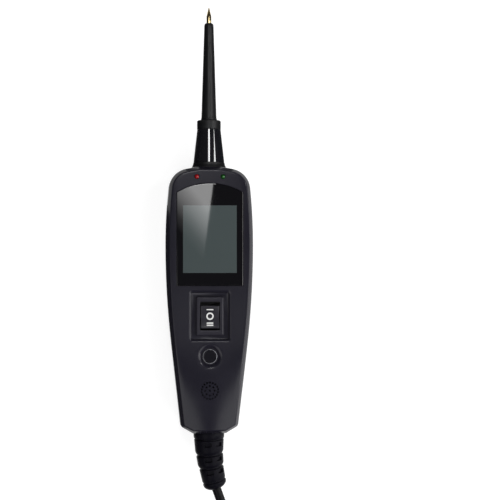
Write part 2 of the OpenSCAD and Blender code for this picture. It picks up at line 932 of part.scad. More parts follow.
// Each segment: start, length, how far its first and last radius stand over the core,
// and the depth of the groove behind it
boot_segments = [[0.5, 7.8, 3.2, 2.7, 0.8], [9.1, 6.2, 2.5, 2.1, 0.8], [16.1, 6.7, 1.8, 1.55, 0.45]];
// Width of a groove, and depth of the one in front of the first segment
boot_groove = 0.8;
// Two slots side by side in the front and the back of a segment, with a post between them;
// they stand a little turned about the boot's axis
boot_post = 2.7;
boot_slot = [3.6, 6, 2.2];
boot_slot_in = 0.6;
boot_slot_at = 2.2;
boot_turn = 18;
boot_end_s = 23.5;
module strain_relief() {
    color([0.09, 0.09, 0.1]) {
        at_boot(-4.2 - 3.6)
            cylinder(r = boot_hole_r - seam_gap, h = 3.6 + 0.5);
        at_boot(-4.2 - 5.4)
            cylinder(r = boot_flange_r, h = boot_flange_t);
        at_boot(-4.2)
            cylinder(r1 = boot_base_r, r2 = boot_base_r - 0.2, h = 4);
        at_boot(-0.4)
            cylinder(r = boot_core_r + boot_segments[0][2] - boot_groove, h = 1.2);
        translate([boot_start.x + boot_bend_r, boot_start.y, axis_z])
            rotate(180)
                rotate_extrude(angle = boot_at(boot_end_s + 0.5)[2], $fn = 180)
                    translate([boot_bend_r, 0])
                        circle(boot_core_r, $fn = 48);
        for (g = boot_segments)
            at_boot(g[0] + g[1] - 0.3)
                cylinder(r = boot_core_r + g[3] - g[4], h = boot_groove + 0.6);
        for (g = boot_segments)
            at_boot(g[0])
                difference() {
                    cylinder(r1 = boot_core_r + g[2], r2 = boot_core_r + g[3], h = g[1]);
                    for (side = [-1, 1], across = [-1, 1])
                        rotate(-boot_turn)
                            translate([
                                across * (boot_post + boot_slot.x) / 2,
                                side * (boot_core_r + boot_slot.y / 2 - boot_slot_in),
                                boot_slot_at
                            ])
                                cube(boot_slot, center = true);
                }
        at_boot(boot_end_s)
            rotate_extrude()
                polygon([
                    [0, 0],
                    [boot_core_r + 1.5, 0],
                    [boot_core_r + 1.5, 1.2],
                    [boot_core_r + 1, 2.4],
                    [boot_core_r - 0.1, 3.4],
                    [cord_d / 2 + 0.8, 4],
                    [0, 4]
                ]);
    }
}

// Clamp that holds the cord's jacket to the rear housing
clamp_y = tail_y + 9.6;
clamp_z = axis_z - 3.2;
module cord_clamp() {
    color([0.12, 0.12, 0.13])
        translate([0, clamp_y, 0])
            difference() {
                translate([-8, -2, clamp_z])
                    cube([16, 4, 6.4]);
                translate([0, 3, axis_z])
                    rotate([90, 0, 0])
                        cylinder(r = cord_d / 2 + 0.05, h = 6);
                translate([-2.1, -3, clamp_z - 1])
                    cube([4.2, 6, 2]);
                for (x = [-6, 6])
                    translate([x, 0, clamp_z - 1])
                        cylinder(r = 1.1, h = 9);
            }
}

// Pan-head screw with its head down at z = 0 and a cross slot
module screw(r, head_r, head_h, length) {
    difference() {
        union() {
            cylinder(r = head_r, h = head_h, $fn = 32);
            cylinder(r = r, h = length, $fn = 32);
        }
        for (a = [0, 90])
            rotate(a)
                translate([-head_r * 0.6, -0.25, -1])
                    cube([head_r * 1.2, 0.5, 1 + head_h * 0.6]);
    }
}

module clamp_screws() {
    color([0.75, 0.75, 0.77])
        for (x = [-6, 6])
            translate([x, clamp_y, axis_z + 3.2 + 1.2])
                rotate([180, 0, 0])
                    screw(0.75, 1.8, 1.2, 10);
}

module board_screws() {
    color([0.75, 0.75, 0.77])
        for (p = post_places)
            translate([p.x, p.y, board_z - 1.1])
                screw(0.75, 1.7, 1.1, 6);
}

screw_seat_z = 5;
screw_head_h = 1.6;
module housing_screws() {
    color([0.5, 0.5, 0.52])
        for (p = screw_places)
            translate([p.x, p.y, screw_seat_z - screw_head_h])
                screw(screw_r - 0.05, screw_head_r, screw_head_h, 17);
}

// Leads inside: the cord's jacket through the clamp and its cores, and the probe's lead
lead_r = 0.7;
function lead_curve(a, b, c, d, n = 14) = [for (i = [0 : n])
    let(t = i / n, u = 1 - t) u * u * u * a + 3 * u * u * t * b + 3 * u * t * t * c + t * t * t * d];

module inner_leads() {
    jacket_y = boot_y + 5.8;
    color([0.1, 0.1, 0.11])
        translate([0, clamp_y + 4.4, axis_z])
            rotate([90, 0, 0])
                cylinder(r = cord_d / 2, h = clamp_y + 4.4 - jacket_y);
    color([0.7, 0.1, 0.1])
        swept(lead_curve(
            [1.2, clamp_y + 4.2, axis_z],
            [1.2, clamp_y + 7, axis_z],
            [2.6, board_end_y + 1, axis_z + 1],
            [2.6, board_end_y + 4, board_z - 4.9]), 2 * lead_r);
    color([0.05, 0.05, 0.06])
        swept(lead_curve(
            [-1.2, clamp_y + 4.2, axis_z],
            [-1.2, clamp_y + 7, axis_z],
            [-2.6, board_end_y + 1, axis_z + 1],
            [-2.6, board_end_y + 4, board_z - 4.9]), 2 * lead_r);
    color([0.7, 0.1, 0.1])
        swept(lead_curve(
            [0, floor_y - 4.65, axis_z],
            [0, floor_y - 11, axis_z],
            [0, lcd_y + 24, board_z - 5],
            [0, lcd_y + 16, board_z - 0.8]), 2 * lead_r);
}

// Tube along a list of points, with 10 sides
sides = 10;
function unit(v) = v / norm(v);
module swept(path, d) {
    n = len(path);
    tangents = [for (i = [0 : n - 1]) unit(path[min(i + 1, n - 1)] - path[max(i - 1, 0)])];
    rings = [for (i = [0 : n - 1])
        let(
            t = tangents[i],
            u = unit(cross(t, [0.05, 0.02, 1])),
            v = cross(t, u)
        )
        [for (j = [0 : sides - 1])
            path[i] + d / 2 * (cos(360 * j / sides) * u + sin(360 * j / sides) * v)]];
    polyhedron(
        points = [for (r = rings) each r],
        faces = concat(
            [[for (j = [0 : sides - 1]) j]],
            [for (i = [0 : n - 2]) for (j = [0 : sides - 1])
                let(a = i * sides + j, b = i * sides + (j + 1) % sides)
                each [[a, b + sides, b], [a, a + sides, b + sides]]],
            [[for (j = [sides - 1 : -1 : 0]) (n - 1) * sides + j]]
        )
    );
}

// Route of the cord from the boot to the hank, and from the hank to the plug
boot_end = boot_at(boot_end_s + 4);
hank_x = 2;
hank_y = -160;
hank_out_r = hank_r + cord_d;
hank_h = hank_layers * cord_d;
cord_route = [
    [boot_end.x, boot_end.y, axis_z],
    [6.9, -110, 14.8],
    [10, -117, 13.8],
    [13.2, -125, 11.6],
    [16.4, -133, 8.6],
    [19, -141, 5.4],
    [hank_x + hank_out_r - 0.2, -149, cord_d / 2 + 0.7],
    [hank_x + hank_out_r, -156, cord_d / 2]
];
plug_z = hank_h + 5.3;
plug_x = hank_x + (hank_r + hank_out_r) / 2;
plug_y = hank_y - 38;
end_route = [
    [plug_x - 3, hank_y + 5.5, hank_h - 1.2],
    [plug_x - 0.9, hank_y - 1, hank_h + 2],
    [plug_x - 0.1, hank_y - 8, hank_h + 3.4],
    [plug_x, hank_y - 15, hank_h + 3.9],
    [plug_x, hank_y - 23, plug_z - 0.5],
    [plug_x, hank_y - 30, plug_z],
    [plug_x, plug_y, plug_z]
];

module power_cord() {
    color([0.08, 0.08, 0.09])
        swept(cord_route, cord_d);
}

module cord_end() {
    color([0.08, 0.08, 0.09])
        swept(end_route, cord_d);
}

// Outline with round ends, as wide as twice r
module stadium(r) {
    translate([hank_x, hank_y])
        circle(r, $fn = 48);
    translate([hank_x, hank_y - hank_run])
        circle(r, $fn = 48);
    translate([hank_x - r, hank_y - hank_run])
        square([2 * r, hank_run]);
}

module cord_hank() {
    color([0.08, 0.08, 0.09])
        linear_extrude(hank_h)
            difference() {
                stadium(hank_out_r + cord_d / 2);
                stadium(hank_r - cord_d / 2);
            }
}

// Two ties, each closed round one run of the hank
tie_t = 0.8;
tie_w = 5;
tie_y = hank_y - 14;
module cord_ties() {
    inner_x = hank_r - cord_d / 2;
    outer_x = hank_out_r + cord_d / 2;
    color([0.12, 0.12, 0.13])
        for (side = [-1, 1])
            translate([hank_x, tie_y, 0])
                difference() {
                    translate([side > 0 ? inner_x - tie_t : -outer_x - tie_t, 0, 0])
                        cube([outer_x - inner_x + 2 * tie_t, tie_w, hank_h + tie_t]);
                    translate([side > 0 ? inner_x : -outer_x, -1, -1])
                        cube([outer_x - inner_x, tie_w + 2, hank_h + 1]);
                }
}

// Keyed two-way plug, lying on the hank with its mouth away from the tester
plug_l = 26;
plug_w = 13;
plug_h = 10;
plug_mouth = 15;
plug_wall = 1.4;
contact_l = 9;
contact_r = 1;
contact_gap = 5.2;
module plug_housing() {
    color([0.1, 0.1, 0.11])
        translate([plug_x, plug_y, plug_z])
            rotate([90, 0, 0])
                difference() {
                    union() {
                        cylinder(r1 = cord_d / 2 + 0.6, r2 = 4.2, h = 9);
                        translate([0, 0, 8 + plug_l / 2])
                            cube([plug_w, plug_h, plug_l], center = true);
                        translate([0, plug_h / 2 + 0.6, 8 + plug_l - 9])
                            cube([4, 1.4, 12], center = true);
                    }
                    translate([-plug_w / 2 + plug_wall, -plug_h / 2 + plug_wall, 8 + plug_l - plug_mouth])
                        cube([plug_w - 2 * plug_wall, plug_h - 2 * plug_wall, plug_mouth + 1]);
                }
}

module plug_contacts() {
    color([0.8, 0.65, 0.35])
        for (x = [-contact_gap / 2, contact_gap / 2])
            translate([plug_x + x, plug_y - 8 - plug_l + plug_mouth, plug_z])
                rotate([90, 0, 0])
                    cylinder(r = contact_r, h = contact_l, $fn = 24);
}

front_housing();
rear_housing();
display_window();
display_gasket();
display_module();
main_board();
board_components();
switch_body();
switch_rocker();
switch_terminals();
mode_button();
mode_switch();
mode_switch_plunger();
buzzer();
red_lamp();
green_lamp();
neck_ring();
nose_lens();
lamp_board();
work_lights();
tip_socket();
tip_collar();
probe_sleeve();
probe_pin();
strain_relief();
cord_clamp();
clamp_screws();
board_screws();
housing_screws();
inner_leads();
power_cord();
cord_hank();
cord_ties();
cord_end();
plug_housing();
plug_contacts();
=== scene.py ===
import math
import bpy
import bmesh
from mathutils import Vector, Matrix


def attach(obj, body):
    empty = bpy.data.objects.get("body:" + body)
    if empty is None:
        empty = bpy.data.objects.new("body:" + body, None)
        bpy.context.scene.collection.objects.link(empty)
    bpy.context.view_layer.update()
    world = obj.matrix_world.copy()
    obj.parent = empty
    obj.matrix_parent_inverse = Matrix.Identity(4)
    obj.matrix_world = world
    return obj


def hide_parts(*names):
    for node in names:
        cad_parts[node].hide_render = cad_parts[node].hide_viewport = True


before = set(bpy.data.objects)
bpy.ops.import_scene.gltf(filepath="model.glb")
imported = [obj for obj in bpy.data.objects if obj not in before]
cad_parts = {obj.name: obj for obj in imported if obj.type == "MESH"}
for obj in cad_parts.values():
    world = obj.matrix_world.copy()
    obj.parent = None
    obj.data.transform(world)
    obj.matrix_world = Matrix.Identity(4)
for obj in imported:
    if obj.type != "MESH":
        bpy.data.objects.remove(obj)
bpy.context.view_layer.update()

mm = 0.001
scene = bpy.context.scene
print("stage: frame loaded,", len(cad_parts), "nodes")

# camera: straight above and a little to the left, turned to look at the tester
cameraLook = {"place": (-20 * mm, 26.6 * mm, 560 * mm), "turn": -4.434, "lens": 72.65, "sensor": 36,
              "clip": (0.02, 20)}
camera = bpy.data.objects.new("camera", bpy.data.cameras.new("camera"))
scene.collection.objects.link(camera)
camera.data.lens = cameraLook["lens"]
camera.data.sensor_width = cameraLook["sensor"]
camera.data.clip_start, camera.data.clip_end = cameraLook["clip"]
camera.location = cameraLook["place"]
camera.rotation_euler = (0, math.radians(cameraLook["turn"]), 0)
scene.camera = camera


# finishes: every surface is one node tree, set from a small dictionary
def setNode(node, **settings):
    # a setting is an input's value, the output that feeds it, or a property of the node
    for key, value in settings.items():
        if key not in node.inputs:
            setattr(node, key, value)
        elif isinstance(value, bpy.types.NodeSocket):
            node.id_data.links.new(value, node.inputs[key])
        else:
            node.inputs[key].default_value = value
    return node


def addNode(tree, kind, **settings):
    return setNode(tree.nodes.new("ShaderNode" + kind), **settings)


def mathNode(tree, operation, a, b, clamp=False):
    made = addNode(tree, "Math", operation=operation, use_clamp=clamp)
    tree.links.new(a, made.inputs[0])
    tree.links.new(b, made.inputs[1])
    return made.outputs[0]


def inPiece(tree):
    # places in the piece's own metres
    return addNode(tree, "TexCoord").outputs["Object"]


def grainNoise(tree, scale, stretch, detail):
    # stretch squeezes the noise along an axis
    where = inPiece(tree)
    if stretch:
        where = addNode(tree, "Mapping", Vector=where, Scale=stretch).outputs["Vector"]
    return addNode(tree, "TexNoise", Vector=where, Scale=scale, Detail=detail, Roughness=0.55).outputs["Fac"]


def mixColours(tree, factor, low, high):
    made = addNode(tree, "Mix", data_type="RGBA")
    tree.links.new(factor, made.inputs[0])
    made.inputs[6].default_value = (*low, 1)
    made.inputs[7].default_value = (*high, 1)
    return made.outputs[2]


def mapTo(tree, factor, low, high, fromLow=0.3, fromHigh=0.7):
    span = {"Value": factor, "From Min": fromLow, "From Max": fromHigh, "To Min": low, "To Max": high}
    return addNode(tree, "MapRange", **span).outputs["Result"]


def bumpBy(tree, height, depth):
    return addNode(tree, "Bump", Height=height, Distance=depth).outputs["Normal"]


# what a finish has where its dictionary doesn't say, and the shader's socket for each plain number
plainLook = {"patchy": 0.08, "patch": 60, "roughShift": 0.05, "grain": 2600, "grainDepth": 0.00001,
             "stretch": None}
plainSockets = {"specular": "Specular IOR Level", "metal": "Metallic", "coat": "Coat Weight", "ior": "IOR",
                "coatRough": "Coat Roughness", "clear": "Transmission Weight", "sheen": "Sheen Weight"}
material = {}


def makeFinish(name, look):
    # broad patches shift the colour and the roughness, and a fine grain lifts the surface
    look = {**plainLook, **look}
    made = bpy.data.materials.new(name)
    made.use_nodes = True
    made.diffuse_color = (*look["colour"], 1)
    tree = made.node_tree
    broad = grainNoise(tree, look["patch"], look["stretch"], detail=3)
    fine = grainNoise(tree, look["grain"], look["stretch"], detail=2)
    low, high = ([c * (1 + part) for c in look["colour"]] for part in (-look["patchy"], look["patchy"]))
    rough, shift = look["rough"], look["roughShift"]
    setNode(tree.nodes["Principled BSDF"], **{
        "Base Color": mixColours(tree, mapTo(tree, broad, 0, 1), low, high),
        "Roughness": mapTo(tree, broad, rough - shift, rough + shift),
        "Normal": bumpBy(tree, fine, look["grainDepth"]),
        **{socket: look[key] for key, socket in plainSockets.items() if key in look}})
    material[name] = made
    return made


finishes = {
    "housingBlack": {"colour": (0.0122, 0.0114, 0.0178), "rough": 0.2, "roughShift": 0.03, "grain": 3200,
                     "grainDepth": 0.000002, "patchy": 0.06, "specular": 0.2},
    "backBlack": {"colour": (0.0096, 0.0087, 0.0152), "rough": 0.42, "grain": 2400, "grainDepth": 0.00002,
                  "specular": 0.375},
    "frameBlack": {"colour": (0.0212, 0.02, 0.0274), "rough": 0.24, "grain": 3000, "grainDepth": 0.000002,
                   "specular": 0.2},
    "rockerBlack": {"colour": (0.0205, 0.0196, 0.0256), "rough": 0.22, "grain": 3000, "grainDepth": 0.000002,
                    "specular": 0.25},
    "buttonBlack": {"colour": (0.0048, 0.0045, 0.0072), "rough": 0.2, "grain": 3000, "grainDepth": 0.000001,
                    "specular": 0.12},
    "ringBlack": {"colour": (0.006, 0.006, 0.007), "rough": 0.38, "grainDepth": 0.000006},
    "sleeveGrey": {"colour": (0.006, 0.006, 0.0066), "rough": 0.38, "grain": 2200, "patch": 90,
                   "specular": 0.28},
    "bootRubber": {"colour": (0.0042, 0.0039, 0.0066), "rough": 0.4, "grain": 1800, "grainDepth": 0.000008,
                   "specular": 0.04},
    "cordJacket": {"colour": (0.0022, 0.0021, 0.0027), "rough": 0.26, "grain": 900, "grainDepth": 0.000012,
                   "patchy": 0.12, "specular": 0.07},
    "plugBlack": {"colour": (0.009, 0.009, 0.010), "rough": 0.5, "grain": 2200, "grainDepth": 0.00002},
    "markWhite": {"colour": (0.72, 0.72, 0.71), "rough": 0.5, "patchy": 0.03, "grain": 5000,
                  "grainDepth": 0.000004},
    "boardWhite": {"colour": (0.62, 0.62, 0.59), "rough": 0.4, "grain": 900},
    "partBlack": {"colour": (0.014, 0.014, 0.015), "rough": 0.5, "patch": 300},
    "foamGrey": {"colour": (0.03, 0.03, 0.031), "rough": 0.95, "patchy": 0.3, "grain": 1500,
                 "grainDepth": 0.0001},
    "displayGrey": {"colour": (0.067, 0.084, 0.082), "patchy": 0.03, "rough": 0.12, "coat": 0.5},
    "lightAmber": {"colour": (0.75, 0.68, 0.38), "rough": 0.2, "patchy": 0.05, "coat": 0.6},
    "zincBright": {"colour": (0.55, 0.55, 0.57), "rough": 0.28, "patch": 400, "patchy": 0.1, "metal": 1.0},
    "zincDark": {"colour": (0.09, 0.09, 0.095), "rough": 0.35, "patch": 400, "patchy": 0.2, "metal": 1.0},
    "contactBrass": {"colour": (0.62, 0.43, 0.16), "rough": 0.25, "patch": 250, "patchy": 0.12,
                     "stretch": (1, 12, 1), "metal": 1.0},
}
for name, look in finishes.items():
    makeFinish(name, look)
print("stage: plain finishes made,", len(material))


# shaping tools: every outline, profile and point is in millimetres, and rawMesh turns it to metres
sliver = 0.000003  # metres: anything thinner is merged away
tiny = 1e-9  # a step shorter than this has no direction of its own
cornerShare = 0.45  # the most of a side that one corner's arc takes
axisZ = 15  # the probe, the boot and the nose share this height
headY, tailY = 71.1, -71.1  # ends of the housing


def workOn(mesh, change):
    # opens a mesh for bmesh's tools, changes it and writes it back
    work = bmesh.new()
    work.from_mesh(mesh)
    change(work)
    work.to_mesh(mesh)
    work.free()


def faceOut(work):
    bmesh.ops.recalc_face_normals(work, faces=work.faces)


def rawMesh(name, points, faces):
    mesh = bpy.data.meshes.new(name)
    mesh.from_pydata([(x * mm, y * mm, z * mm) for x, y, z in points], [], faces)
    workOn(mesh, faceOut)
    made = bpy.data.objects.new(name, mesh)
    scene.collection.objects.link(made)
    return made


def softenShading(work, degrees):
    # smooth faces, with the edges over the angle kept crisp
    faceOut(work)
    for face in work.faces:
        face.smooth = True
    for edge in work.edges:
        edge.smooth = len(edge.link_faces) == 2 and edge.calc_face_angle(0) < math.radians(degrees)


def dress(piece, finish, replaces=(), sharp=30, body="housing"):
    # finish (or several, for faces that are already marked), body, and the CAD solids it stands for, which it
    # hides
    kept = []
    if piece.type == "MESH":
        workOn(piece.data, lambda work: softenShading(work, sharp))
        kept = [face.material_index for face in piece.data.polygons]
    piece.data.materials.clear()
    for one in [finish] if isinstance(finish, str) else finish:
        piece.data.materials.append(material[one])
    for k, index in enumerate(kept):
        piece.data.polygons[k].material_index = index
    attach(piece, body)
    if replaces:
        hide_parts(*replaces)
    return piece


def settle(piece):
    # applies what the modifiers make
    made = bpy.data.meshes.new_from_object(piece.evaluated_get(bpy.context.evaluated_depsgraph_get()))
    old = piece.data
    piece.modifiers.clear()
    piece.data = made
    made.name = old.name
    bpy.data.meshes.remove(old)


def mergeSlivers(work):
    # the hair-thin faces that a cut can leave
    bmesh.ops.remove_doubles(work, verts=work.verts, dist=sliver)
    bmesh.ops.dissolve_degenerate(work, edges=work.edges, dist=sliver)


def carve(piece, cutters, operation="DIFFERENCE"):
    for cutter in cutters:
        step = piece.modifiers.new("carve", "BOOLEAN")
        step.operation = operation
        step.object = cutter
        step.solver = "EXACT"
        settle(piece)
        bpy.data.objects.remove(cutter)
    workOn(piece.data, mergeSlivers)
    return piece


def join(first, others):
    def addOthers(work):
        for other in others:
            work.from_mesh(other.data)
            bpy.data.objects.remove(other)

    workOn(first.data, addOthers)
    return first


def weighNormals(piece):
    step = piece.modifiers.new("weigh", "WEIGHTED_NORMAL")
    step.keep_sharp = True
    step.weight = 60
    settle(piece)


def loftFaces(rings, count):
    # quads between rings of the same count, with a flat end on the first and the last
    faces = []
    for i in range(rings - 1):
        for j in range(count):
            a, b = i * count + j, i * count + (j + 1) % count
            faces.append((a, b, b + count, a + count))
    return faces + [tuple(range(count - 1, -1, -1)), tuple((rings - 1) * count + j for j in range(count))]


def arcPoints(cx, cy, r, start, end, steps):
    turns = [math.radians(start + (end - start) * i / steps) for i in range(steps + 1)]
    return [(cx + r * math.cos(a), cy + r * math.sin(a)) for a in turns]


def circlePoints(cx, cy, r, steps):
    turns = [2 * math.pi * k / steps for k in range(steps)]
    return [(cx + r * math.cos(a), cy + r * math.sin(a)) for a in turns]


def roundedRect(w, l, r, steps):
    # a size in the dictionaries is these four: width, length, corner radius and the corner's steps
    return [p for sx, sy, a in ((1, 1, 0), (-1, 1, 90), (-1, -1, 180), (1, -1, 270))
            for p in arcPoints(sx * (w / 2 - r), sy * (l / 2 - r), r, a, a + 90, steps)]


def moveIn(outline, d):
    # a closed convex outline moved in by d
    if not d:
        return outline
    n = len(outline)
    made = []
    for i in range(n):
        p, q, s = Vector(outline[i - 1]), Vector(outline[i]), Vector(outline[(i + 1) % n])
        a, b = q - p, s - q
        a = a.normalized() if a.length > tiny else b.normalized()
        b = b.normalized() if b.length > tiny else a
        side = Vector((-a.y - b.y, a.x + b.x))
        side = side.normalized() if side.length > tiny else Vector((-a.y, a.x))
        stretch = 1 / max(0.5, side.dot(Vector((-a.y, a.x))))
        made.append(tuple(q + side * d * stretch))
    return made


def standing(name, outline, levels, at=(0, 0)):
    # a solid of one outline, standing on Z; each level is (how far in, height)
    points = [(x + at[0], y + at[1], z) for inset, z in levels for x, y in moveIn(outline, inset)]
    return rawMesh(name, points, loftFaces(len(levels), len(outline)))


def alongX(name, outline, levels, at):
    # an outline of (y, z) carried along X; each level is (how far in, x)
    points = [(x, y + at[0], z + at[1]) for inset, x in levels for y, z in moveIn(outline, inset)]
    return rawMesh(name, points, loftFaces(len(levels), len(outline)))


def alongY(name, levels):
    # rings of (x, z) at each y
    points = [(x, y, z) for ring, y in levels for x, z in ring]
    return rawMesh(name, points, loftFaces(len(levels), len(levels[0][0])))


def roundStanding(name, levels, at, steps):
    # a turned solid that stands on Z; each level is (radius, height)
    points = [(x, y, z) for r, z in levels for x, y in circlePoints(*at, r, steps)]
    return rawMesh(name, points, loftFaces(len(levels), steps))


def roundCorners(profile, radius, steps=3):
    # an open line of points, with an arc at each inner corner
    made = [profile[0]]
    for i in range(1, len(profile) - 1):
        p, q, s = (Vector(profile[k]) for k in (i - 1, i, i + 1))
        back, ahead = p - q, s - q
        reach = min(radius, back.length * cornerShare, ahead.length * cornerShare)
        a, b = q + back.normalized() * reach, q + ahead.normalized() * reach
        for k in range(steps + 1):
            t = k / steps
            made.append(tuple(a * (1 - t) ** 2 + q * 2 * t * (1 - t) + b * t * t))
    return made + [profile[-1]]


def ringFaces(rows):
    # faces between rows of point numbers, also where a row is one point on the axis
    faces = []
    for low, high in zip(rows, rows[1:]):
        for k in range(len(low)):
            n = (k + 1) % len(low)
            face = [low[k], low[n], high[n], high[k]]
            face = [v for i, v in enumerate(face) if v != face[i - 1]]
            if len(face) > 2:
                faces.append(face)
    return faces


def turned(name, profile, steps, closed=True):
    # lathe on the probe's axis: a profile of (radius, y)
    points, rows = [], []
    for r, y in profile:
        ring = circlePoints(0, 0, r, steps) if r else [(0, 0)]
        rows.append([len(points) + k % len(ring) for k in range(steps)])
        points += [(x, y, axisZ + z) for x, z in ring]
    return rawMesh(name, points, ringFaces(rows + rows[:1] if closed else rows))


def eased(t):
    t = min(1, max(0, t))
    return t * t * (3 - 2 * t)


def smoothThrough(points, steps=6):
    # evenly eased line through the listed points
    line = [Vector(p) for p in points]
    line = [line[0] * 2 - line[1]] + line + [line[-1] * 2 - line[-2]]
    made = []
    for i in range(1, len(line) - 2):
        a, b, c, d = line[i - 1:i + 3]
        for k in range(steps):
            t = k / steps
            made.append(0.5 * (2 * b + (c - a) * t + (2 * a - 5 * b + 4 * c - d) * t * t
                               + (3 * b - a - 3 * c + d) * t ** 3))
    return made + [line[-2]]


print("stage: tools ready")


# power cord: out of the boot, down to the floor, then a hank that is stored out of view
cordLook = {
    "radius": 2.5, "start": (3.45, -100.2, 15),
    # the same points as in the CAD
    "route": [(3.95, -101.92, 15), (6.9, -110, 14.8), (10, -117, 13.8), (13.2, -125, 11.6),
              (16.4, -133, 8.6), (19, -141, 5.4), (20.8, -149, 3.2), (21, -156, 2.5)],
    "endRoute": [(15.5, -154.5, 23.8), (17.6, -161, 27), (18.4, -168, 28.4), (18.5, -175, 28.9),
                 (18.5, -183, 29.8), (18.5, -190, 30.3), (18.5, -198, 30.3)],
    "hankCentre": (2, -160), "run": 62, "lanes": (19, 14, 14, 19, 19, 14, 14, 19, 19, 14),
    "runSteps": 8, "farSteps": 14, "nearSteps": 16,
    # the part of the near end that a turn takes to step over, and how much earlier each later turn does
    "stepOver": 0.36, "stepEarlier": 0.08,
    # the last turn rises to meet the end's route
    "lastSteps": 12, "riseAfter": 7, "rise": 0.175,
}


def hankTurns(look):
    # each turn goes down the right, round the far end, up the left and round the near end,
    # where it steps to the next lane
    cx, cy = look["hankCentre"]
    d, lanes, run = 2 * look["radius"], look["lanes"], look["run"]
    n, steps = look["runSteps"], look["nearSteps"]
    made = []
    for i, lane in enumerate(lanes):
        last = i == len(lanes) - 1
        z = look["radius"] + d * (i // 2)
        nextLane, nextZ = (lane, z) if last else (lanes[i + 1], look["radius"] + d * ((i + 1) // 2))
        made += [(cx + lane, cy - run * k / n, z) for k in range(n)]
        made += [(x, y, z) for x, y in arcPoints(cx, cy - run, lane, 0, -180, look["farSteps"])]
        made += [(cx - lane, cy - run * (n - k) / n, z) for k in range(1, n)]
        for k in range(look["lastSteps"] if last else steps):
            t = eased((k / steps - look["stepEarlier"] * (len(lanes) - 2 - i)) / look["stepOver"])
            r = lane + (nextLane - lane) * t
            a = math.radians(180 - 180 * k / steps)
            lift = look["rise"] * max(0, k - look["riseAfter"]) if last else 0
            made.append((cx + r * math.cos(a), cy + r * math.sin(a), z + (nextZ - z) * t + lift))
    return made


def makeCord(look, line):
    curve = bpy.data.curves.new("powerCord", "CURVE")
    curve.dimensions = "3D"
    curve.bevel_depth = look["radius"] * mm
    curve.bevel_resolution = 5
    curve.use_fill_caps = True
    spline = curve.splines.new("POLY")
    spline.points.add(len(line) - 1)
    for point, place in zip(spline.points, line):
        point.co = (*(place * mm), 1)
    spline.use_smooth = True
    made = bpy.data.objects.new("powerCord", curve)
    scene.collection.objects.link(made)
    return dress(made, "cordJacket", ("power_cord", "cord_hank", "cord_end"))


cordLine = [Vector(cordLook["start"])] + smoothThrough(cordLook["route"])
cordLine += [Vector(p) for p in hankTurns(cordLook)] + smoothThrough(cordLook["endRoute"], steps=4)
powerCord = makeCord(cordLook, cordLine)

# two woven ties hold the hank, one round each of its sides
tieLook = {"right": 18.5, "left": -14.5, "y": -171.5, "width": 5, "thick": 0.8, "bottom": 0.82,
           "inside": (10, 24.18, 2, 5),
           "weave": {"colour": (0.02, 0.02, 0.022), "rough": 0.8, "threads": 420, "depth": 0.00025,
                     "sheen": 0.3}}


def makeTieWeave(look):
    tree = makeFinish("tieWeave", look).node_tree
    where = inPiece(tree)
    over, under = (addNode(tree, "TexWave", Vector=where, Scale=look["threads"], Distortion=0.3,
                           bands_direction=direction).outputs["Fac"] for direction in ("Y", "Z"))
    cloth = bumpBy(tree, mathNode(tree, "MULTIPLY", over, under), look["depth"])
    setNode(tree.nodes["Principled BSDF"], Normal=cloth)


def makeTie(name, look, centreX):
    # a strap round one side of the hank, with rounded corners
    inner = roundedRect(*look["inside"])
    n, middleZ = len(inner), look["inside"][1] / 2 + look["bottom"]
    points = [(centreX + x, y, middleZ + z)
              for y in (look["y"] - look["width"] / 2, look["y"] + look["width"] / 2)
              for ring in (inner, moveIn(inner, -look["thick"])) for x, z in ring]
    faces = []
    for k in range(n):
        m = (k + 1) % n
        faces += [(k, m, n + m, n + k), (2 * n + k, 3 * n + k, 3 * n + m, 2 * n + m),
                  (n + k, n + m, 3 * n + m, 3 * n + k), (k, 2 * n + k, 2 * n + m, m)]
    return dress(rawMesh(name, points, faces), "tieWeave", sharp=50)


makeTieWeave(tieLook["weave"])
hankTies = [makeTie("hankTieRight", tieLook, tieLook["right"]),
            makeTie("hankTieLeft", tieLook, tieLook["left"])]
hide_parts("cord_ties")

# supply plug: keyed shell with a rounded rear and a mouth that shows two contacts
plugLook = {
    "x": 18.5, "y": -198, "z": 30.3, "width": 13, "height": 10, "length": 26, "corner": 1.2,
    "mouth": 15, "wall": 1.4, "mouthCorner": 0.8, "cornerSteps": 5, "neckLength": 8,
    # each is (distance past the rear or the front, how far in)
    "rearEase": ((0, 1.0), (-0.3, 0.35), (-1, 0)), "frontEase": ((0.5, 0), (0, 0.4)),
    "mouthEase": ((0, -0.3), (0.4, 0)),
    # the neck round the cord: (radius, distance past the cord's end or the shell's rear)
    "neckStart": ((3.05, 0), (3.2, -0.5)), "neckEnd": ((4.1, -0.4), (4.2, -1.2)), "neckSteps": 40,
    # the key on top, and its levels of (how far in, height)
    "key": (12, 4, 0.5, 3), "keyLevels": [(0, -0.2), (0, 1.0), (0.3, 1.3)], "keyFromFront": 9,
}


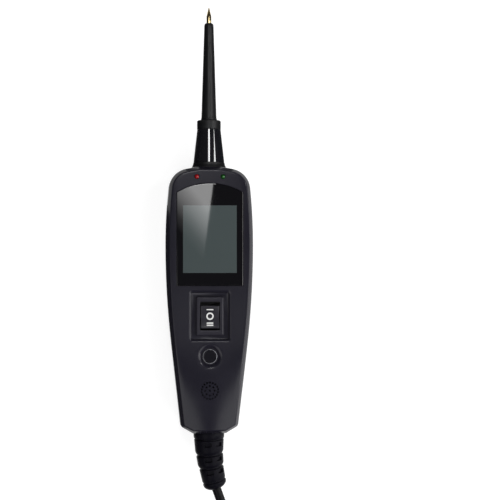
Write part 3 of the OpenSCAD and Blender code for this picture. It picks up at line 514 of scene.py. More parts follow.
def makePlug(look):
    x, z, w, h, wall = (look[key] for key in ("x", "z", "width", "height", "wall"))
    rear = look["y"] - look["neckLength"]
    front = rear - look["length"]
    box = roundedRect(w, h, look["corner"], look["cornerSteps"])
    hollow = roundedRect(w - 2 * wall, h - 2 * wall, look["mouthCorner"], look["cornerSteps"])
    levels = [(box, rear + y, inset) for y, inset in look["rearEase"]]
    levels += [(box, front + y, inset) for y, inset in look["frontEase"]]
    levels += [(hollow, front + y, inset) for y, inset in (*look["mouthEase"], (look["mouth"], 0))]
    shell = alongY("plugShell", [([(x + px, z + pz) for px, pz in moveIn(outline, inset)], y)
                                 for outline, y, inset in levels])
    neck = [(r, look["y"] + y) for r, y in look["neckStart"]] + [(r, rear + y) for r, y in look["neckEnd"]]
    neck = alongY("neck", [(circlePoints(x, z, r, look["neckSteps"]), y) for r, y in neck])
    key = standing("key", roundedRect(*look["key"]), look["keyLevels"])
    key.data.transform(Matrix.Translation(Vector((x, front + look["keyFromFront"], z + h / 2)) * mm)
                       @ Matrix.Rotation(math.pi / 2, 4, "Z"))
    carve(shell, [neck, key], "UNION")
    return dress(shell, "plugBlack", ("plug_housing",))


plug = makePlug(plugLook)
print("stage: hank, ties and plug made")


# floor and light
floorLook = {"size": 30000, "colour": 0.86, "seen": 0.4, "lift": 0.79}
lightLook = {
    # name: (place, where it looks, width and height, all in metres, and the power in watts)
    "rightStrip": ((0.66, 0.34, 0.84), (0, 0.083, 0.02), 0.105, 0.44, 1.9),
    "rightSoft": ((0.64, -0.5, 1.0), (0, -0.05, 0.02), 0.76, 0.9, 6.0),
    "midStrip": ((0.01, -0.087, 1.1), (0.01, -0.087, 0), 0.42, 0.075, 0.16),
    "rightLow": ((0.96, -0.12, 0.43), (0, -0.02, 0.02), 0.6, 0.95, 7.9),
    "leftSoft": ((-0.59, -0.5, 1.0), (0, -0.05, 0.02), 0.84, 0.9, 5.2),
}
# the panel overhead: bright towards the head end, fading out above the switch, with a clean right edge
panelLook = {
    "area": ((-0.083, 0.27, 1.1), (-0.083, 0.27, 0), 0.29, 0.5, 8.2), "turn": -7.3,
    "slant": 1.2, "fadeFrom": (0.011, 0.008), "fadeOver": 0.5,
    "levels": [(0.05, 0), (0.095, 0.011), (0.13, 0.035), (0.163, 0.067), (0.205, 0.105), (0.235, 0.14),
               (0.54, 0.15), (0.62, 1)],
}
# dark cards that only reflections see, as a studio uses beside a black product: two opposite corners
flagLook = {"left": ((-3900, -160, 0.4), (-24.5, 52, 0.4)),
            "noseLeft": ((-13.5, 71.5, 0.5), (-13.5, 162, 24)),
            "noseRight": ((13.5, 71.5, 0.5), (13.5, 162, 24))}
worldLook = {"grey": 0.5, "strength": 0.06}


def grey(level):
    return level, level, level, 1


def makeFloor(look):
    # the lamps light it as pale paper; the camera and reflections see it lifted, with the object's shadow
    s = look["size"]
    floor = rawMesh("floor", [(-s, -s, 0), (s, -s, 0), (s, s, 0), (-s, s, 0)], [(0, 1, 2, 3)])
    made = bpy.data.materials.new("floorPaper")
    made.use_nodes = True
    tree = made.node_tree
    tree.nodes.clear()
    plain = addNode(tree, "BsdfDiffuse", Color=grey(look["colour"]))
    bright = addNode(tree, "BsdfDiffuse", Color=grey(look["seen"]))
    glow = addNode(tree, "Emission", Strength=look["lift"])
    lifted = tree.nodes.new("ShaderNodeAddShader")
    choice = tree.nodes.new("ShaderNodeMixShader")
    path = addNode(tree, "LightPath").outputs
    seen = mathNode(tree, "ADD", path["Is Camera Ray"], path["Is Glossy Ray"], clamp=True)
    seen = mathNode(tree, "ADD", seen, path["Is Transmission Ray"], clamp=True)
    for source, target in ((bright.outputs[0], lifted.inputs[0]), (glow.outputs[0], lifted.inputs[1]),
                           (seen, choice.inputs[0]), (plain.outputs[0], choice.inputs[1]),
                           (lifted.outputs[0], choice.inputs[2])):
        tree.links.new(source, target)
    addNode(tree, "OutputMaterial", Surface=choice.outputs[0])
    floor.data.materials.append(made)


def makeLight(name, look):
    place, aim, width, height, power = look
    data = bpy.data.lights.new(name, "AREA")
    data.shape = "RECTANGLE"
    data.size, data.size_y = width, height
    data.energy = power
    lamp = bpy.data.objects.new(name, data)
    scene.collection.objects.link(lamp)
    lamp.location = place
    lamp.rotation_euler = (Vector(place) - Vector(aim)).to_track_quat("Z", "Y").to_euler()
    lamp.visible_camera = False
    return lamp


def makePanel(look):
    lamp = makeLight("overPanel", look["area"])
    lamp.rotation_euler = (0, 0, math.radians(look["turn"]))
    lamp.data.use_nodes = True
    tree = lamp.data.node_tree
    place = tree.nodes.new("ShaderNodeSeparateXYZ")
    tree.links.new(addNode(tree, "NewGeometry").outputs["Position"], place.inputs[0])
    x, y = look["fadeFrom"]
    across = mapTo(tree, place.outputs["X"], -look["slant"], look["slant"], x - 1, x + 1)
    along = mapTo(tree, mathNode(tree, "ADD", place.outputs["Y"], across), 0, 1, y, y + look["fadeOver"])
    ramp = addNode(tree, "ValToRGB", Fac=along)
    stops = ramp.color_ramp.elements
    while len(stops) < len(look["levels"]):
        stops.new(0.5)
    for stop, (at, level) in zip(stops, look["levels"]):
        stop.position = at
        stop.color = grey(level)
    setNode(tree.nodes["Emission"], Strength=ramp.outputs[0])


def makeFlag(name, corners):
    (x0, y0, z0), (x1, y1, z1) = corners
    flag = rawMesh(name, [(x0, y0, z0), (x1, y0, z1), (x1, y1, z1), (x0, y1, z0)], [(0, 1, 2, 3)])
    flag.data.materials.append(material["backBlack"])
    flag.visible_camera = flag.visible_diffuse = flag.visible_shadow = flag.visible_transmission = False


makeFloor(floorLook)
for name, look in lightLook.items():
    makeLight(name, look)
makePanel(panelLook)
for name, corners in flagLook.items():
    makeFlag(name + "Flag", corners)
world = bpy.data.worlds.new("studio")
scene.world = world
world.use_nodes = True
setNode(world.node_tree.nodes["Background"], Color=grey(worldLook["grey"]), Strength=worldLook["strength"])
scene.view_settings.view_transform = "Standard"
print("stage: floor and lights set")


# housing: the CAD's side line and crowned face, drawn finer
housing = {
    "head": headY, "tail": tailY, "front": 30, "seam": 14,
    "halfWide": 23.4, "widest": headY - 41.8, "upperR": 300, "lowerR": 474, "taper": 6.3,
    "shoulderR": 11.65, "shoulderY": headY - 11.4, "headSlope": 11, "headFlat": 6,
    "tailR": 3, "tailSlope": 29, "tailFlat": 8.9,
    "crownFrom": -22, "crownDrop": 2, "fallFrom": -30, "fallBy": 1.8, "riseFrom": -38, "riseBy": 2.4,
    "cutSteps": 5, "cornerSteps": 12, "shoulderSteps": 20, "sideSteps": 70, "across": 14,
}
taperTan = math.tan(math.radians(housing["taper"]))
taperFrom = housing["widest"] - housing["lowerR"] * taperTan


def sideX(y):
    h = housing
    if y > h["widest"]:
        return h["halfWide"] - (y - h["widest"]) ** 2 / (2 * h["upperR"])
    if y > taperFrom:
        return h["halfWide"] - (h["widest"] - y) ** 2 / (2 * h["lowerR"])
    return h["halfWide"] - (h["widest"] - taperFrom) ** 2 / (2 * h["lowerR"]) - (taperFrom - y) * taperTan


def shareDown(y, start):
    # how far y is from the start towards the tail, from 0 to 1
    return max(0, (housing[start] - y) / (housing[start] - housing["tail"]))


def faceZ(x, y):
    h = housing
    fall = h["fallBy"] * shareDown(y, "fallFrom") ** 2
    return h["front"] - fall - h["crownDrop"] * eased(shareDown(y, "crownFrom")) * (x / sideX(y)) ** 2


def backZ(y):
    return housing["riseBy"] * shareDown(y, "riseFrom") ** 2


def cornerCentre(reach, xEnd, slope, flat, lean):
    # centre of the arc that touches a cut end and a side that leans: x, and the distance from the end
    sin, cos, tan = math.sin(slope), math.cos(slope), math.tan(lean)
    run = (xEnd - flat + reach * (sin + cos * tan - 1 / math.cos(lean))) / (cos - sin * tan)
    return flat - reach * sin + run * cos, reach * cos + run * sin


def between(a, b, n):
    return [tuple(Vector(a).lerp(Vector(b), i / n)) for i in range(n)]


def halfOutline(d):
    # right side from the tail to the head, moved in by d; each end is cut to a slope
    h = housing
    tailR, headR = max(h["tailR"] - d, 1), max(h["shoulderR"] - d, 2)
    cutT, cutH, taper = (math.radians(h[key]) for key in ("tailSlope", "headSlope", "taper"))
    lean = math.atan((h["shoulderY"] - h["widest"]) / h["upperR"])
    tx, ty = cornerCentre(d + tailR, sideX(h["tail"]), cutT, h["tailFlat"], taper)
    xEnd = sideX(h["shoulderY"]) - (h["head"] - h["shoulderY"]) * math.tan(lean)
    sx, sy = cornerCentre(d + headR, xEnd, cutH, h["headFlat"], lean)
    ty, sy = h["tail"] + ty, h["head"] - sy
    low, high = ty - tailR * math.sin(taper), sy + headR * math.sin(lean)
    n = h["sideSteps"]
    made = between((h["tailFlat"] - d * math.tan(cutT / 2), h["tail"] + d),
                   (tx + tailR * math.sin(cutT), ty - tailR * math.cos(cutT)), h["cutSteps"])
    made += arcPoints(tx, ty, tailR, h["tailSlope"] - 90, -h["taper"], h["cornerSteps"])
    made += [(sideX(y) - d, y) for y in (low + (high - low) * i / n for i in range(1, n))]
    made += arcPoints(sx, sy, headR, math.degrees(lean), 90 - h["headSlope"], h["shoulderSteps"])
    end = (h["headFlat"] - d * math.tan(cutH / 2), h["head"] - d)
    return made + between(end, made[-1], h["cutSteps"])[::-1]


def fullOutline(d):
    half = halfOutline(d)
    n = housing["across"]
    ends = [1 - 2 * c / n for c in range(1, n)]
    return (half + [(half[-1][0] * c, half[-1][1]) for c in ends]
            + [(-x, y) for x, y in reversed(half)] + [(-half[0][0] * c, half[0][1]) for c in ends])


def levelZ(level, x, y):
    # rule 0 is a flat height, 1 is measured down from the face, 2 is measured up from the back
    inset, height, rule = level
    if rule == 0:
        return height
    if rule == 1:
        return faceZ(x, y) - height
    return height + backZ(y) * max(0, 1 - height / housing["seam"])


def shellSolid(name, levels):
    # walls from level to level, closed at the last one by a grid that follows its surface
    rows, across = len(halfOutline(0)), housing["across"]
    ring = 2 * rows + 2 * (across - 1)
    points = [(x, y, levelZ(level, x, y)) for level in levels for x, y in fullOutline(level[0])]
    top, first = (len(levels) - 1) * ring, len(points)
    half = halfOutline(levels[-1][0])
    grid = [(x * (1 - 2 * c / across), y) for x, y in half[1:-1] for c in range(1, across)]
    points += [(x, y, levelZ(levels[-1], x, y)) for x, y in grid]

    def at(k, c):
        if c == 0:
            return top + k
        if c == across:
            return top + rows + across - 1 + rows - 1 - k
        if k == rows - 1:
            return top + rows + c - 1
        return top + ring - c if k == 0 else first + (k - 1) * (across - 1) + c - 1

    cap = [(at(k, c), at(k, c + 1), at(k + 1, c + 1), at(k + 1, c))
           for k in range(rows - 1) for c in range(across)]
    return rawMesh(name, points, loftFaces(len(levels), ring)[:-1] + cap)


# openings in the end walls, which both housings share: (radius, distance past the end)
endLook = {"neck": [(9.15, -5.3), (9.15, -2.5), (7.75, -2.5), (7.75, -0.5), (9.55, -0.5), (9.55, 2)],
           "boot": [(8.5, -3), (8.5, 0.5), (6.2, 0.5), (6.2, 2.6), (7.7, 2.6), (7.7, 6), (6.2, 6), (6.2, 7)]}


def endCutters():
    made = []
    for part, end in (("neck", headY), ("boot", tailY)):
        line = [(r, end + y) for r, y in endLook[part]]
        made.append(turned(part + "Hole", [(0, line[0][1]), *line, (0, line[-1][1])], steps=72, closed=False))
    return made


frontLook = {
    # each level is (how far in, height, rule of levelZ)
    "outside": [(0.35, 14, 0), (0.12, 14.15, 0), (0, 14.45, 0), (0.03, 16.5, 0), (0.12, 20, 0),
                (0.3, 4.4, 1), (0.4, 3.55, 1), (0.52, 3.1, 1), (0.72, 2.68, 1), (1.05, 2.1, 1),
                (1.45, 1.42, 1), (1.83, 0.76, 1), (2.08, 0.38, 1), (2.3, 0.15, 1), (2.55, 0.04, 1),
                (2.9, 0, 1)],
    "inside": [(2.0, 13, 0), (2.1, 20, 0), (2.4, 5.6, 1), (4.5, 2.2, 1)],
    # each cut is a list of (how far in, or else the radius, and the depth under the flat face)
    "window": {"width": 35.2, "foot": headY - 63.4, "length": 49.2, "rise": 4.9, "steps": 40,
               "corner": 0.5, "cut": [(0, 1.2), (0, 0.16), (-0.14, 0), (-0.4, -0.3)]},
    "glass": {"size": (30.8, 38.1, 1, 6), "y": headY - 38.8, "cut": [(0, 10), (0, -2)]},
    "recess": {"size": (22.4, 27.4, 2, 8), "y": headY - 79.2,
               "cut": [(1.55, 1.6), (1.42, 1.54), (1.34, 1.4), (1.22, 0.8), (1.12, 0.5), (0.9, 0.32),
                       (0.6, 0.18), (0.3, 0.075), (0.05, 0.015), (-0.15, 0), (-0.5, -0.1)]},
    "switch": {"size": (13.2, 19.2, 0.4, 6), "y": headY - 79.2, "cut": [(0, 10), (0, 1)]},
    "dish": {"y": headY - 100.5,
             "cut": [(4.6, 1.3), (4.62, 1.1), (4.78, 0.86), (5.02, 0.64), (5.32, 0.43), (5.65, 0.26),
                     (5.98, 0.13), (6.3, 0.045), (6.6, 0), (6.8, -0.05)]},
    "button": {"y": headY - 100.5, "cut": [(3.92, 10), (3.92, 1)]},
    # the buzzer's holes stand in rings of (radius, how many)
    "sound": {"y": headY - 118.5, "rings": [(0, 1), (2.5, 8), (4.35, 18)],
              "cut": [(0.475, 10), (0.475, 0.3), (0.775, -0.3)]},
    "lamps": {"x": 6.9, "y": headY - 5.9, "cut": [(1.25, 10), (1.25, 0.12), (1.39, -0.02)]},
}


def windowOutline(look, inset):
    # straight sides and foot, with one large arc across the head; the foot's corners are eased
    w = look["width"] / 2
    r = (w * w + look["rise"] ** 2) / (2 * look["rise"])
    cy = look["foot"] + look["length"] + look["rise"] - r
    a = math.degrees(math.acos((w - inset) / (r - inset)))
    foot = look["foot"] + inset
    made = [(-w + inset, foot), (w - inset, foot)]
    made += arcPoints(0, cy, r - inset, a, 180 - a, look["steps"])
    made = [made[-1]] + made + [made[0]]
    return roundCorners(made, look["corner"], steps=4)[1:-1]


def under(part):
    # a cut's levels, as heights
    return [(across, housing["front"] - depth) for across, depth in part["cut"]]


def makeFrontHousing(look):
    window, sound, lamps = look["window"], look["sound"], look["lamps"]
    shell = shellSolid("frontHousing", look["outside"])
    holes = [roundStanding("soundHole", under(sound), place, steps=16) for r, n in sound["rings"]
             for place in arcPoints(0, sound["y"], r, 90, 450, n)[:-1]]
    cutters = [shellSolid("inside", look["inside"]),
               standing("windowCut", windowOutline(window, 0), under(window))]
    for name in ("glass", "recess", "switch"):
        part = look[name]
        cutters.append(standing(name + "Cut", roundedRect(*part["size"]), under(part), (0, part["y"])))
    for name in ("dish", "button"):
        cutters.append(roundStanding(name + "Cut", under(look[name]), (0, look[name]["y"]), steps=96))
    cutters.append(join(holes[0], holes[1:]))
    for x in (-lamps["x"], lamps["x"]):
        cutters.append(roundStanding("lampHole", under(lamps), (x, lamps["y"]), steps=40))
    carve(shell, cutters + endCutters())
    weighNormals(shell)
    return dress(shell, "housingBlack", ("front_housing",), sharp=26)


rearLook = {
    "outside": [(0.35, 14, 0), (0.12, 13.85, 0), (0, 13.55, 0), (0.05, 12, 2), (0.25, 10, 2), (0.55, 8.2, 2),
                (1, 6.4, 2), (1.6, 4.8, 2), (2.4, 3.5, 2), (3.3, 2.3, 2), (4.4, 1.4, 2), (5.5, 0.72, 2),
                (6.6, 0.3, 2), (7.5, 0.08, 2), (8.4, 0, 2)],
    "inside": [(2.0, 15, 0), (2.2, 10, 2), (3.1, 6.6, 2), (4.6, 4, 2), (7, 2.4, 2), (8.6, 2, 2)],
    # four screws: each pair's y and how far in from the side; (radius, height) of the post and of its well
    "screws": ((headY - 13.6, 7.1), (tailY + 14.4, 6)), "post": [(3.2, 0.6), (3.2, 13.9)], "postIn": 0.3,
    "well": [(2.9, -0.4), (2.58, -0.02), (2.4, 0.22), (2.4, 5), (1.35, 5), (1.35, 15)],
    "label": {"y": 30, "size": (30, 40, 2.5, 8), "levels": [(-0.3, -0.3), (0.0, 0.05), (0.05, 0.4)]},
}


def makeRearHousing(look):
    shell = shellSolid("rearHousing", look["outside"])
    screws = [(side * (sideX(y) - inward), y) for y, inward in look["screws"] for side in (1, -1)]
    posts = [roundStanding("post", look["post"], place, steps=48) for place in screws]
    # the posts are cut back to stay within the shell's rounded back
    inner = look["postIn"]
    within = shellSolid("within", [(inset + inner, height + (inner if rule else 0), rule)
                                   for inset, height, rule in look["outside"]])
    posts = carve(join(posts[0], posts[1:]), [within], "INTERSECT")
    carve(shell, [shellSolid("inside", look["inside"])])
    carve(shell, [posts], "UNION")
    label = look["label"]
    wells = [roundStanding("well", look["well"], place, steps=48) for place in screws]
    labelCut = standing("labelCut", roundedRect(*label["size"]), label["levels"], (0, label["y"]))
    carve(shell, [*wells, labelCut, *endCutters()])
    weighNormals(shell)
    return dress(shell, "backBlack", ("rear_housing",), sharp=26)


frontHousing = makeFrontHousing(frontLook)
rearHousing = makeRearHousing(rearLook)
print("stage: housings made,", [len(made.data.polygons) for made in (frontHousing, rearHousing)], "faces")


# display window: one clear sheet, black behind its edge, with the picture area inside
windowLook = {
    "inset": 0.12,
    "levels": [(0.02, 28.8), (0, 28.86), (0, 29.6), (0.05, 29.78), (0.16, 29.87), (0.34, 29.9),
               (0.36, 29.9), (0.7, 29.9)],
    "picture": {"width": 28.2, "length": 35.5, "y": headY - 38.8, "line": 0.3, "above": 29.89, "flat": 0.9},
    "windowGloss": {"colour": (0.0032, 0.003, 0.0042), "patchy": 0.03, "rough": 0.016, "roughShift": 0.004,
                    "grain": 900, "grainDepth": 0.0000001, "ior": 1.8, "coat": 0.5, "coatRough": 0.02},
    "pictureGrey": {"colour": (0.060, 0.0755, 0.0765), "patchy": 0.015, "patch": 35, "rough": 0.022,
                    "roughShift": 0.005, "grain": 7000, "grainDepth": 0.00000005, "ior": 1.8, "coat": 0.5,
                    "coatRough": 0.02},
}


def markPicture(work, look):
    # cuts the picture's edges into the flat top, and again a line's width outside, and marks the inner faces
    for grow in (0, look["line"]):
        x, y = look["width"] / 2 + grow, look["length"] / 2 + grow
        for place, normal in (((x, 0), (1, 0)), ((-x, 0), (1, 0)), ((0, look["y"] + y), (0, 1)),
                              ((0, look["y"] - y), (0, 1))):
            top = [f for f in work.faces
                   if f.normal.z > look["flat"] and f.calc_center_median().z > look["above"] * mm]
            geom = top + list({e for f in top for e in f.edges}) + list({v for f in top for v in f.verts})
            bmesh.ops.bisect_plane(work, geom=geom, plane_co=(place[0] * mm, place[1] * mm, 0),
                                   plane_no=(*normal, 0))
    for face in work.faces:
        x, y = face.calc_center_median().xy / mm
        inside = abs(x) < look["width"] / 2 and abs(y - look["y"]) < look["length"] / 2
        if inside and face.normal.z > look["flat"]:
            face.material_index = 1


def makeWindow(look):
    for finish in ("windowGloss", "pictureGrey"):
        makeFinish(finish, look[finish])
    piece = standing("displayWindow", windowOutline(frontLook["window"], look["inset"]), look["levels"])
    workOn(piece.data, lambda work: markPicture(work, look["picture"]))
    return dress(piece, ("windowGloss", "pictureGrey"), ("display_window",), sharp=40)


makeWindow(windowLook)

# power switch: snap-in frame, and a rocker that swings in its well
switchLook = {
    "y": headY - 79.2, "frame": (14.6, 20.6, 0.9, 6), "well": (10.4, 15, 0.5, 5),
    "case": (13, 19, 0.3, 3), "caseLevels": [(0.3, 16.0), (0, 16.3), (0, 28.6)],
    "pivot": (headY - 79.7, 25.0), "hole": 1.27, "reach": 6.3,
    "snap": {"x": 6.6, "z": 26.4, "r": 0.7, "length": 6, "steps": 24},
    "trim": [(0.08, 28.4), (0, 28.5), (0, 29.4), (0.03, 29.56), (0.12, 29.7), (0.5, 30.08), (0.64, 30.17),
             (0.85, 30.2)],
    "lip": [(0, 19.8), (0, 30.0), (-0.04, 30.12), (-0.13, 30.19), (-0.3, 30.24)],
}
rockerLook = {
    "length": 11.93, "up": 5.7, "down": -2.6, "cut": 1.6, "cheek": 2, "dishR": 34, "dishFrom": 0.9,
    "corner": 0.4, "steps": 24, "trunnion": 1.2, "reach": 6.1,
    "ends": [(0.36, 4.9), (0.2, 4.88), (0.08, 4.8), (0.02, 4.68), (0, 4.54)],
    # marks: bars of (width, length, y), and a ring of (inner radius, outer radius, y)
    "markRise": 0.035, "shoulder": 0.7, "markSink": 0.12, "ease": 0.02, "barCorner": 0.08,
    "bars": ((3.6, 0.56, headY - 75.81), (3.4, 0.66, headY - 82.87), (3.4, 0.66, headY - 83.97)),
    "ring": (1.22, 1.95, headY - 79.28), "ringSteps": 64,
}


def roundBar(name, r, reach, pivot, steps=40):
    return alongX(name, arcPoints(0, 0, r, 0, 360, steps)[:-1], [(0, -reach), (0, reach)], pivot)


def makeSwitchFrame(look):
    at = (0, look["y"])
    piece = standing("switchFrame", roundedRect(*look["frame"]), look["trim"], at)
    snap = look["snap"]
    rings = [circlePoints(side * snap["x"], snap["z"], snap["r"], snap["steps"]) for side in (-1, 1)]
    ends = (look["y"] - snap["length"] / 2, look["y"] + snap["length"] / 2)
    snaps = [alongY("snap", [(ring, y) for y in ends]) for ring in rings]
    carve(piece, [standing("case", roundedRect(*look["case"]), look["caseLevels"], at), *snaps], "UNION")
    carve(piece, [standing("well", roundedRect(*look["well"]), look["lip"], at),
                  roundBar("pivotHole", look["hole"], look["reach"], look["pivot"])])
    weighNormals(piece)
    return dress(piece, "frameBlack", ("switch_body",), sharp=35)


def rockerTop(y):
    # height over the pivot of the dished top, y mm from the middle
    look = rockerLook
    half = look["length"] / 2
    return look["up"] + math.sqrt(look["dishR"] ** 2 - half ** 2) - math.sqrt(look["dishR"] ** 2 - y ** 2)


def makeRocker(look):
    half, up, down, n = look["length"] / 2, look["up"], look["down"], look["steps"]
    reach = half - look["dishFrom"]
    dish = [reach - 2 * reach * i / n for i in range(n + 1)]
    line = [(0, down), (half - look["cut"], down), (half, up - look["cheek"]), (half, up)]
    line += [(y, rockerTop(y)) for y in dish]
    line += [(-half, up), (-half, up - look["cheek"]), (-half + look["cut"], down), (0, down)]
    levels = [(inset, -x) for inset, x in look["ends"]] + [(inset, x) for inset, x in reversed(look["ends"])]
    pivot = switchLook["pivot"]
    piece = alongX("rocker", roundCorners(line, look["corner"], steps=4)[:-1], levels, pivot)
    carve(piece, [roundBar("trunnion", look["trunnion"], look["reach"], pivot)], "UNION")
    weighNormals(piece)
    return dress(piece, "rockerBlack", ("switch_rocker",), sharp=35, body="rocker")


def onDish(outline, up):
    # an outline of (x, y) laid on the rocker's dish, raised by up
    pivotY, pivotZ = switchLook["pivot"]
    return [(x, y, pivotZ + rockerTop(y - pivotY) + up) for x, y in outline]


def dressMark(name, points, faces):
    return dress(rawMesh(name, points, faces), "markWhite", body="rocker")


def makeRockerMarks(look):
    # each side is (how far in, height over the dish)
    rise, ease = look["markRise"], look["ease"]
    sides = ((0, -look["markSink"]), (0, look["shoulder"] * rise), (ease, rise))
    for i, (w, l, y) in enumerate(look["bars"]):
        points = []
        for inset, up in sides:
            bar = roundedRect(w - 2 * inset, l - 2 * inset, look["barCorner"] - inset / 2, 3)
            points += onDish([(px, py + y) for px, py in bar], up)
        dressMark(f"rockerBar{i}", points, loftFaces(len(sides), len(bar)))
    r0, r1, y = look["ring"]
    n = look["ringSteps"]
    rings = [(r0 + inset, up) for inset, up in sides] + [(r1 - inset, up) for inset, up in reversed(sides)]
    points = [p for r, up in rings for p in onDish(arcPoints(0, y, r, 0, 360, n)[:-1], up)]
    rows = [list(range(k * n, k * n + n)) for k in range(len(rings))]
    dressMark("rockerRing", points, ringFaces(rows + rows[:1]))


makeSwitchFrame(switchLook)
makeRocker(rockerLook)
makeRockerMarks(rockerLook)
print("stage: window, switch and rocker made")

# mode button with its flange, and the two lamps
buttonLook = {
    "y": headY - 100.5,
    "levels": [(4.9, 25.8), (4.95, 25.85), (4.95, 26.75), (4.9, 26.8), (3.86, 26.8), (3.85, 26.9),
               (3.85, 29.3), (3.83, 29.43), (3.77, 29.54), (3.67, 29.63), (3.54, 29.68), (3.4, 29.69),
               (3.3, 29.66), (3.2, 29.6), (3.1, 29.56), (2.98, 29.55), (2.9, 29.55)],
    # the rim's crest takes a lighter colour: a painted highlight, for the light that its bevel catches
    "highlightFrom": (3.6, 3.84), "highlightAbove": 29.3,
    "rimHighlight": {"colour": (0.18, 0.18, 0.2), "patchy": 0.35, "patch": 900, "rough": 0.3},
}
lampLook = {
    "x": 6.9, "y": headY - 5.9, "flange": [(1.6, 24.6), (1.7, 24.7), (1.7, 25.8), (1.6, 25.9)],
    "dome": {"r": 1.19, "foot": 25.9, "spring": 29.4, "rise": 1.2, "upTo": 86, "steps": 9},
    "redLens": {"colour": (0.34, 0.003, 0.006)}, "greenLens": {"colour": (0.004, 0.085, 0.006)},
    "both": {"patchy": 0.05, "rough": 0.16, "roughShift": 0.03, "clear": 0.2, "ior": 1.5, "coat": 0.15,
             "coatRough": 0.1},
}


def makeButton(look):
    makeFinish("buttonRimHighlight", look["rimHighlight"])
    piece = roundStanding("modeButton", look["levels"], (0, look["y"]), steps=96)
    near, far = look["highlightFrom"]
    # faces on the rim's crest take the painted highlight
    for face in piece.data.polygons:
        x, y, z = face.center / mm
        if z > look["highlightAbove"] and near < math.hypot(x, y - look["y"]) < far:
            face.material_index = 1
    finish = ("buttonBlack", "buttonRimHighlight")
    return dress(piece, finish, ("mode_button",), sharp=40, body="button")


def makeLamp(name, look, x, finish, node):
    makeFinish(finish, {**look["both"], **look[finish]})
    dome = look["dome"]
    turns = [math.radians(dome["upTo"] * i / dome["steps"]) for i in range(dome["steps"] + 1)]
    levels = [*look["flange"], (dome["r"], dome["foot"])]
    levels += [(dome["r"] * math.cos(a), dome["spring"] + dome["rise"] * math.sin(a)) for a in turns]
    piece = roundStanding(name, levels, (x, look["y"]), steps=48)
    return dress(piece, finish, (node,), sharp=40)


makeButton(buttonLook)
makeLamp("redLamp", lampLook, -lampLook["x"], "redLens", "red_lamp")
makeLamp("greenLamp", lampLook, lampLook["x"], "greenLens", "green_lamp")
print("stage: button and lamps made")


# nose: neck ring, smoked lens, collar, sleeve and pin, all turned on the probe's axis
noseLook = {
    "neckRing": headY - 0.5, "noseLens": headY + 2.4, "tipCollar": headY + 20.3, "probeSleeve": headY + 26.45,
    # profiles of (radius, distance from the piece's own start)
    "ringLine": [(2.55, -4.6), (9.05, -4.6), (9.05, -2.1), (7.65, -2.1), (7.65, 0), (9.3, 0), (9.27, 0.3),
                 (9.1, 0.75), (8.86, 1.3), (8.68, 1.8), (8.57, 2.3), (8.5, 2.72), (8.34, 2.9), (6.8, 2.9),
                 (6.8, -2.6), (2.55, -2.6)],
    "lensLine": [(6.75, -2.4), (6.75, 0), (8.22, 0), (8.38, 0.16), (6.42, 17.7), (6.26, 17.9),
                 (4.4, 17.9), (4.4, 16.4), (5.2, 14.9), (5.55, 1), (5.55, -2.4)],
    "collarLine": [(4.35, -1.5), (4.35, 0), (6.2, 0), (6.4, 0.25), (6.4, 4.5), (6.05, 4.9), (4.4, 5.24),
                   (4.27, 5.35), (4.27, 6.08), (4.2, 6.13), (1.63, 6.13), (1.63, 4.9), (2.55, 4.5),
                   (2.55, -1.5)],
    "sleeveLine": [(1.05, 0), (4.1, 0), (4.13, 0.12), (4.05, 1.0), (3.3, 25), (2.53, 49.7), (2.46, 50.5),
                   (2.2, 51.05), (1.75, 51.36), (1.5, 51.4), (1.05, 51.4)],
    "sleeveCorner": 0.12, "steps": 128,
    # the pin: a core inside the collar and the sleeve, and the tip past the sleeve's end
    "pinFoot": headY + 8.5, "pinTop": headY + 77.85, "core": 1.0, "pinSteps": 64,
    "tip": [(1.325, 0), (1.325, 3.75), (1.27, 4.0), (0.3, 8.15), (0.18, 8.33), (0.08, 8.39), (0, 8.4)],
    "smokedLens": {"colour": (0.0075, 0.0075, 0.0095), "patchy": 0.02, "rough": 0.06, "roughShift": 0.01,
                   "grain": 500, "grainDepth": 0.000001, "coat": 0.6, "coatRough": 0.03},
    "collarBlack": {"colour": (0.006, 0.006, 0.0067), "rough": 0.45, "grainDepth": 0.000012,
                    "specular": 0.28},
    "pinBrass": {"colour": (0.60, 0.47, 0.24), "patch": 300, "rough": 0.2, "roughShift": 0.06, "rings": 900,
                 "ringDepth": 0.0000012, "metal": 1.0},
}


def makePinBrass(look):
    # polished brass with the fine rings that turning leaves
    tree = makeFinish("pinBrass", look).node_tree
    rings = addNode(tree, "TexWave", Vector=inPiece(tree), Scale=look["rings"], Distortion=0.6,
                    bands_direction="Y")
    setNode(tree.nodes["Principled BSDF"], Normal=bumpBy(tree, rings.outputs["Fac"], look["ringDepth"]))


def makeNosePiece(name, line, finish, node):
    look = noseLook
    profile = [(r, y + look[name]) for r, y in look[line]]
    if name == "probeSleeve":
        profile = roundCorners(profile + [profile[0]], look["sleeveCorner"])[:-1]
    return dress(turned(name, profile, look["steps"]), finish, (node,))


def makePin(look):
    profile = [(0, look["pinFoot"]), (look["core"], look["pinFoot"]), (look["core"], look["pinTop"])]
    profile += [(r, look["pinTop"] + y) for r, y in look["tip"]]
    piece = turned("probePin", profile, look["pinSteps"], closed=False)
    return dress(piece, "pinBrass", ("probe_pin",))


makeFinish("smokedLens", noseLook["smokedLens"])
makeFinish("collarBlack", noseLook["collarBlack"])
makePinBrass(noseLook["pinBrass"])
makeNosePiece("neckRing", "ringLine", "ringBlack", "neck_ring")
makeNosePiece("noseLens", "lensLine", "smokedLens", "nose_lens")
makeNosePiece("tipCollar", "collarLine", "collarBlack", "tip_collar")
makeNosePiece("probeSleeve", "sleeveLine", "sleeveGrey", "probe_sleeve")
makePin(noseLook)
print("stage: nose and probe made")

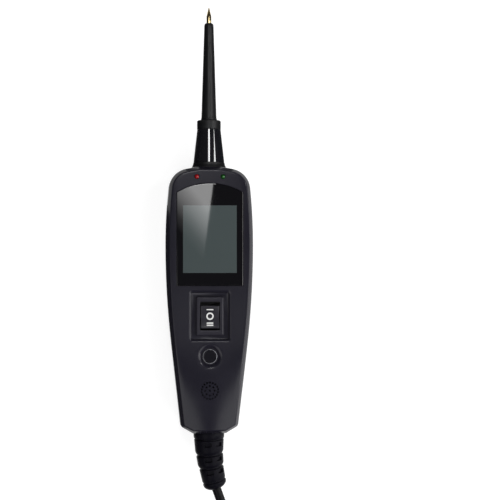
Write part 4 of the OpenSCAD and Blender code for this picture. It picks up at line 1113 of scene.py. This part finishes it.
# strain relief: one bent moulding, ringed with grooves and cut with slots
bootLook = {
    "start": tailY - 3.7, "bend": 95, "steps": 72,
    # profile of (distance along the bend, radius)
    "line": [(-9.6, 0), (-9.6, 7.5), (-9.5, 7.6), (-6.5, 7.6), (-6.4, 7.5), (-6.4, 6.1), (-4.2, 6.1),
             (-4.2, 8.35), (-4.1, 8.4), (-0.5, 8.22), (-0.25, 8.05), (-0.2, 7.2), (0.45, 7.2), (0.5, 7.78),
             (0.75, 7.98), (6.5, 7.64), (7.1, 7.5), (7.9, 7.12), (8.2, 6.9), (8.3, 6.55), (9.05, 6.55),
             (9.12, 7.08), (9.36, 7.27), (13.6, 7.02), (14.2, 6.86), (14.9, 6.5), (15.2, 6.3), (15.3, 5.95),
             (16.05, 5.95), (16.12, 6.38), (16.36, 6.58), (22.4, 6.36), (22.72, 6.2), (22.8, 5.9),
             (23.45, 5.9), (23.55, 6.1), (23.8, 6.28), (24.7, 6.3), (25.5, 6), (26.2, 5.45), (26.9, 4.6),
             (27.3, 3.8), (27.5, 3.1), (27.2, 2.6), (26, 2.55), (26, 0)],
    # rows of four slots, turned off the top: each row's place along the bend and the radius there
    "slots": ((2.7, 7.87), (10.9, 7.17), (17.9, 6.5)), "slot": (3.9, 2.2, 0.35, 3), "slotDepth": 1.0,
    "past": 10, "post": 2.7, "turned": 18,
}


def alongBoot(look, s, across, up):
    # place in space of a point beside the boot's bent axis
    a = max(0, s) / look["bend"]
    x = look["bend"] * (1 - math.cos(a)) + across * math.cos(a)
    y = look["start"] - look["bend"] * math.sin(a) - min(0, s) + across * math.sin(a)
    return x, y, axisZ + up


def bootSlot(look, middle, r, side, up):
    # faces straight out at its own angle round the bend
    wide = look["slot"][0]
    turn = side * (look["post"] + wide) / 2 / r + up * math.radians(look["turned"])
    c, d = math.cos(turn), math.sin(turn)
    outline = [(x, middle + y) for x, y in roundedRect(*look["slot"])]
    depths = (r * math.cos(wide / 2 / r) - look["slotDepth"], look["past"])
    points = [alongBoot(look, y, h * d + x * c, up * (h * c - x * d)) for h in depths for x, y in outline]
    return rawMesh("slot", points, loftFaces(2, len(outline)))


def makeBoot(look):
    points, rows = [], []
    for s, r in look["line"]:
        ring = circlePoints(0, 0, r, look["steps"]) if r else [(0, 0)]
        rows.append([len(points) + k % len(ring) for k in range(look["steps"])])
        points += [alongBoot(look, s, across, up) for across, up in ring]
    piece = rawMesh("strainRelief", points, ringFaces(rows))
    slots = [bootSlot(look, middle, r, side, up)
             for middle, r in look["slots"] for side in (-1, 1) for up in (-1, 1)]
    carve(piece, [join(slots[0], slots[1:])])
    return dress(piece, "bootRubber", ("strain_relief",), sharp=32)


strainRelief = makeBoot(bootLook)
print("stage: strain relief made,", len(strainRelief.data.polygons), "faces")


# inner parts: the CAD's own shapes, each with a finish that suits what it is
boardLook = {"colour": (0.012, 0.085, 0.035), "patchy": 0.15, "patch": 400, "rough": 0.3, "grain": 700,
             "grainDepth": 0.00002, "coat": 0.4, "track": (0.03, 0.16, 0.06), "trackScale": 220, "gap": 0.04}
leadLook = {"colour": (0.02, 0.02, 0.021), "patchy": 0.1, "rough": 0.38, "grain": 1500, "grainDepth": 0.00002,
            "other": (0.34, 0.018, 0.015), "parted": 0.0001}
innerFinishes = {
    "foamGrey": ("display_gasket",),
    "displayGrey": ("display_module",),
    "boardGreen": ("main_board",),
    "boardWhite": ("lamp_board",),
    "partBlack": ("board_components", "buzzer", "mode_switch_plunger", "cord_clamp"),
    "zincBright": ("mode_switch", "clamp_screws", "board_screws"),
    "zincDark": ("housing_screws",),
    "contactBrass": ("switch_terminals", "tip_socket", "plug_contacts"),
    "lightAmber": ("work_lights",),
    "leadPair": ("inner_leads",),
}


def makeBoardGreen(look):
    # solder mask over a net of copper tracks
    tree = makeFinish("boardGreen", look).node_tree
    net = addNode(tree, "TexBrick", Vector=inPiece(tree), Scale=look["trackScale"],
                  **{"Mortar Size": look["gap"]})
    setNode(tree.nodes["Principled BSDF"],
            **{"Base Color": mixColours(tree, net.outputs["Fac"], look["colour"], look["track"])})


def makeLeadPair(look):
    # one lead red and one black, parted at the middle of the tester
    tree = makeFinish("leadPair", look).node_tree
    place = tree.nodes.new("ShaderNodeSeparateXYZ")
    tree.links.new(inPiece(tree), place.inputs[0])
    side = mapTo(tree, place.outputs["X"], 0, 1, -look["parted"], look["parted"])
    setNode(tree.nodes["Principled BSDF"],
            **{"Base Color": mixColours(tree, side, look["colour"], look["other"])})


makeBoardGreen(boardLook)
makeLeadPair(leadLook)
for finish, nodes in innerFinishes.items():
    for node in nodes:
        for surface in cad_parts[node].material_slots:
            surface.material = material[finish]
print("stage: inner parts finished,", sum(len(n) for n in innerFinishes.values()))
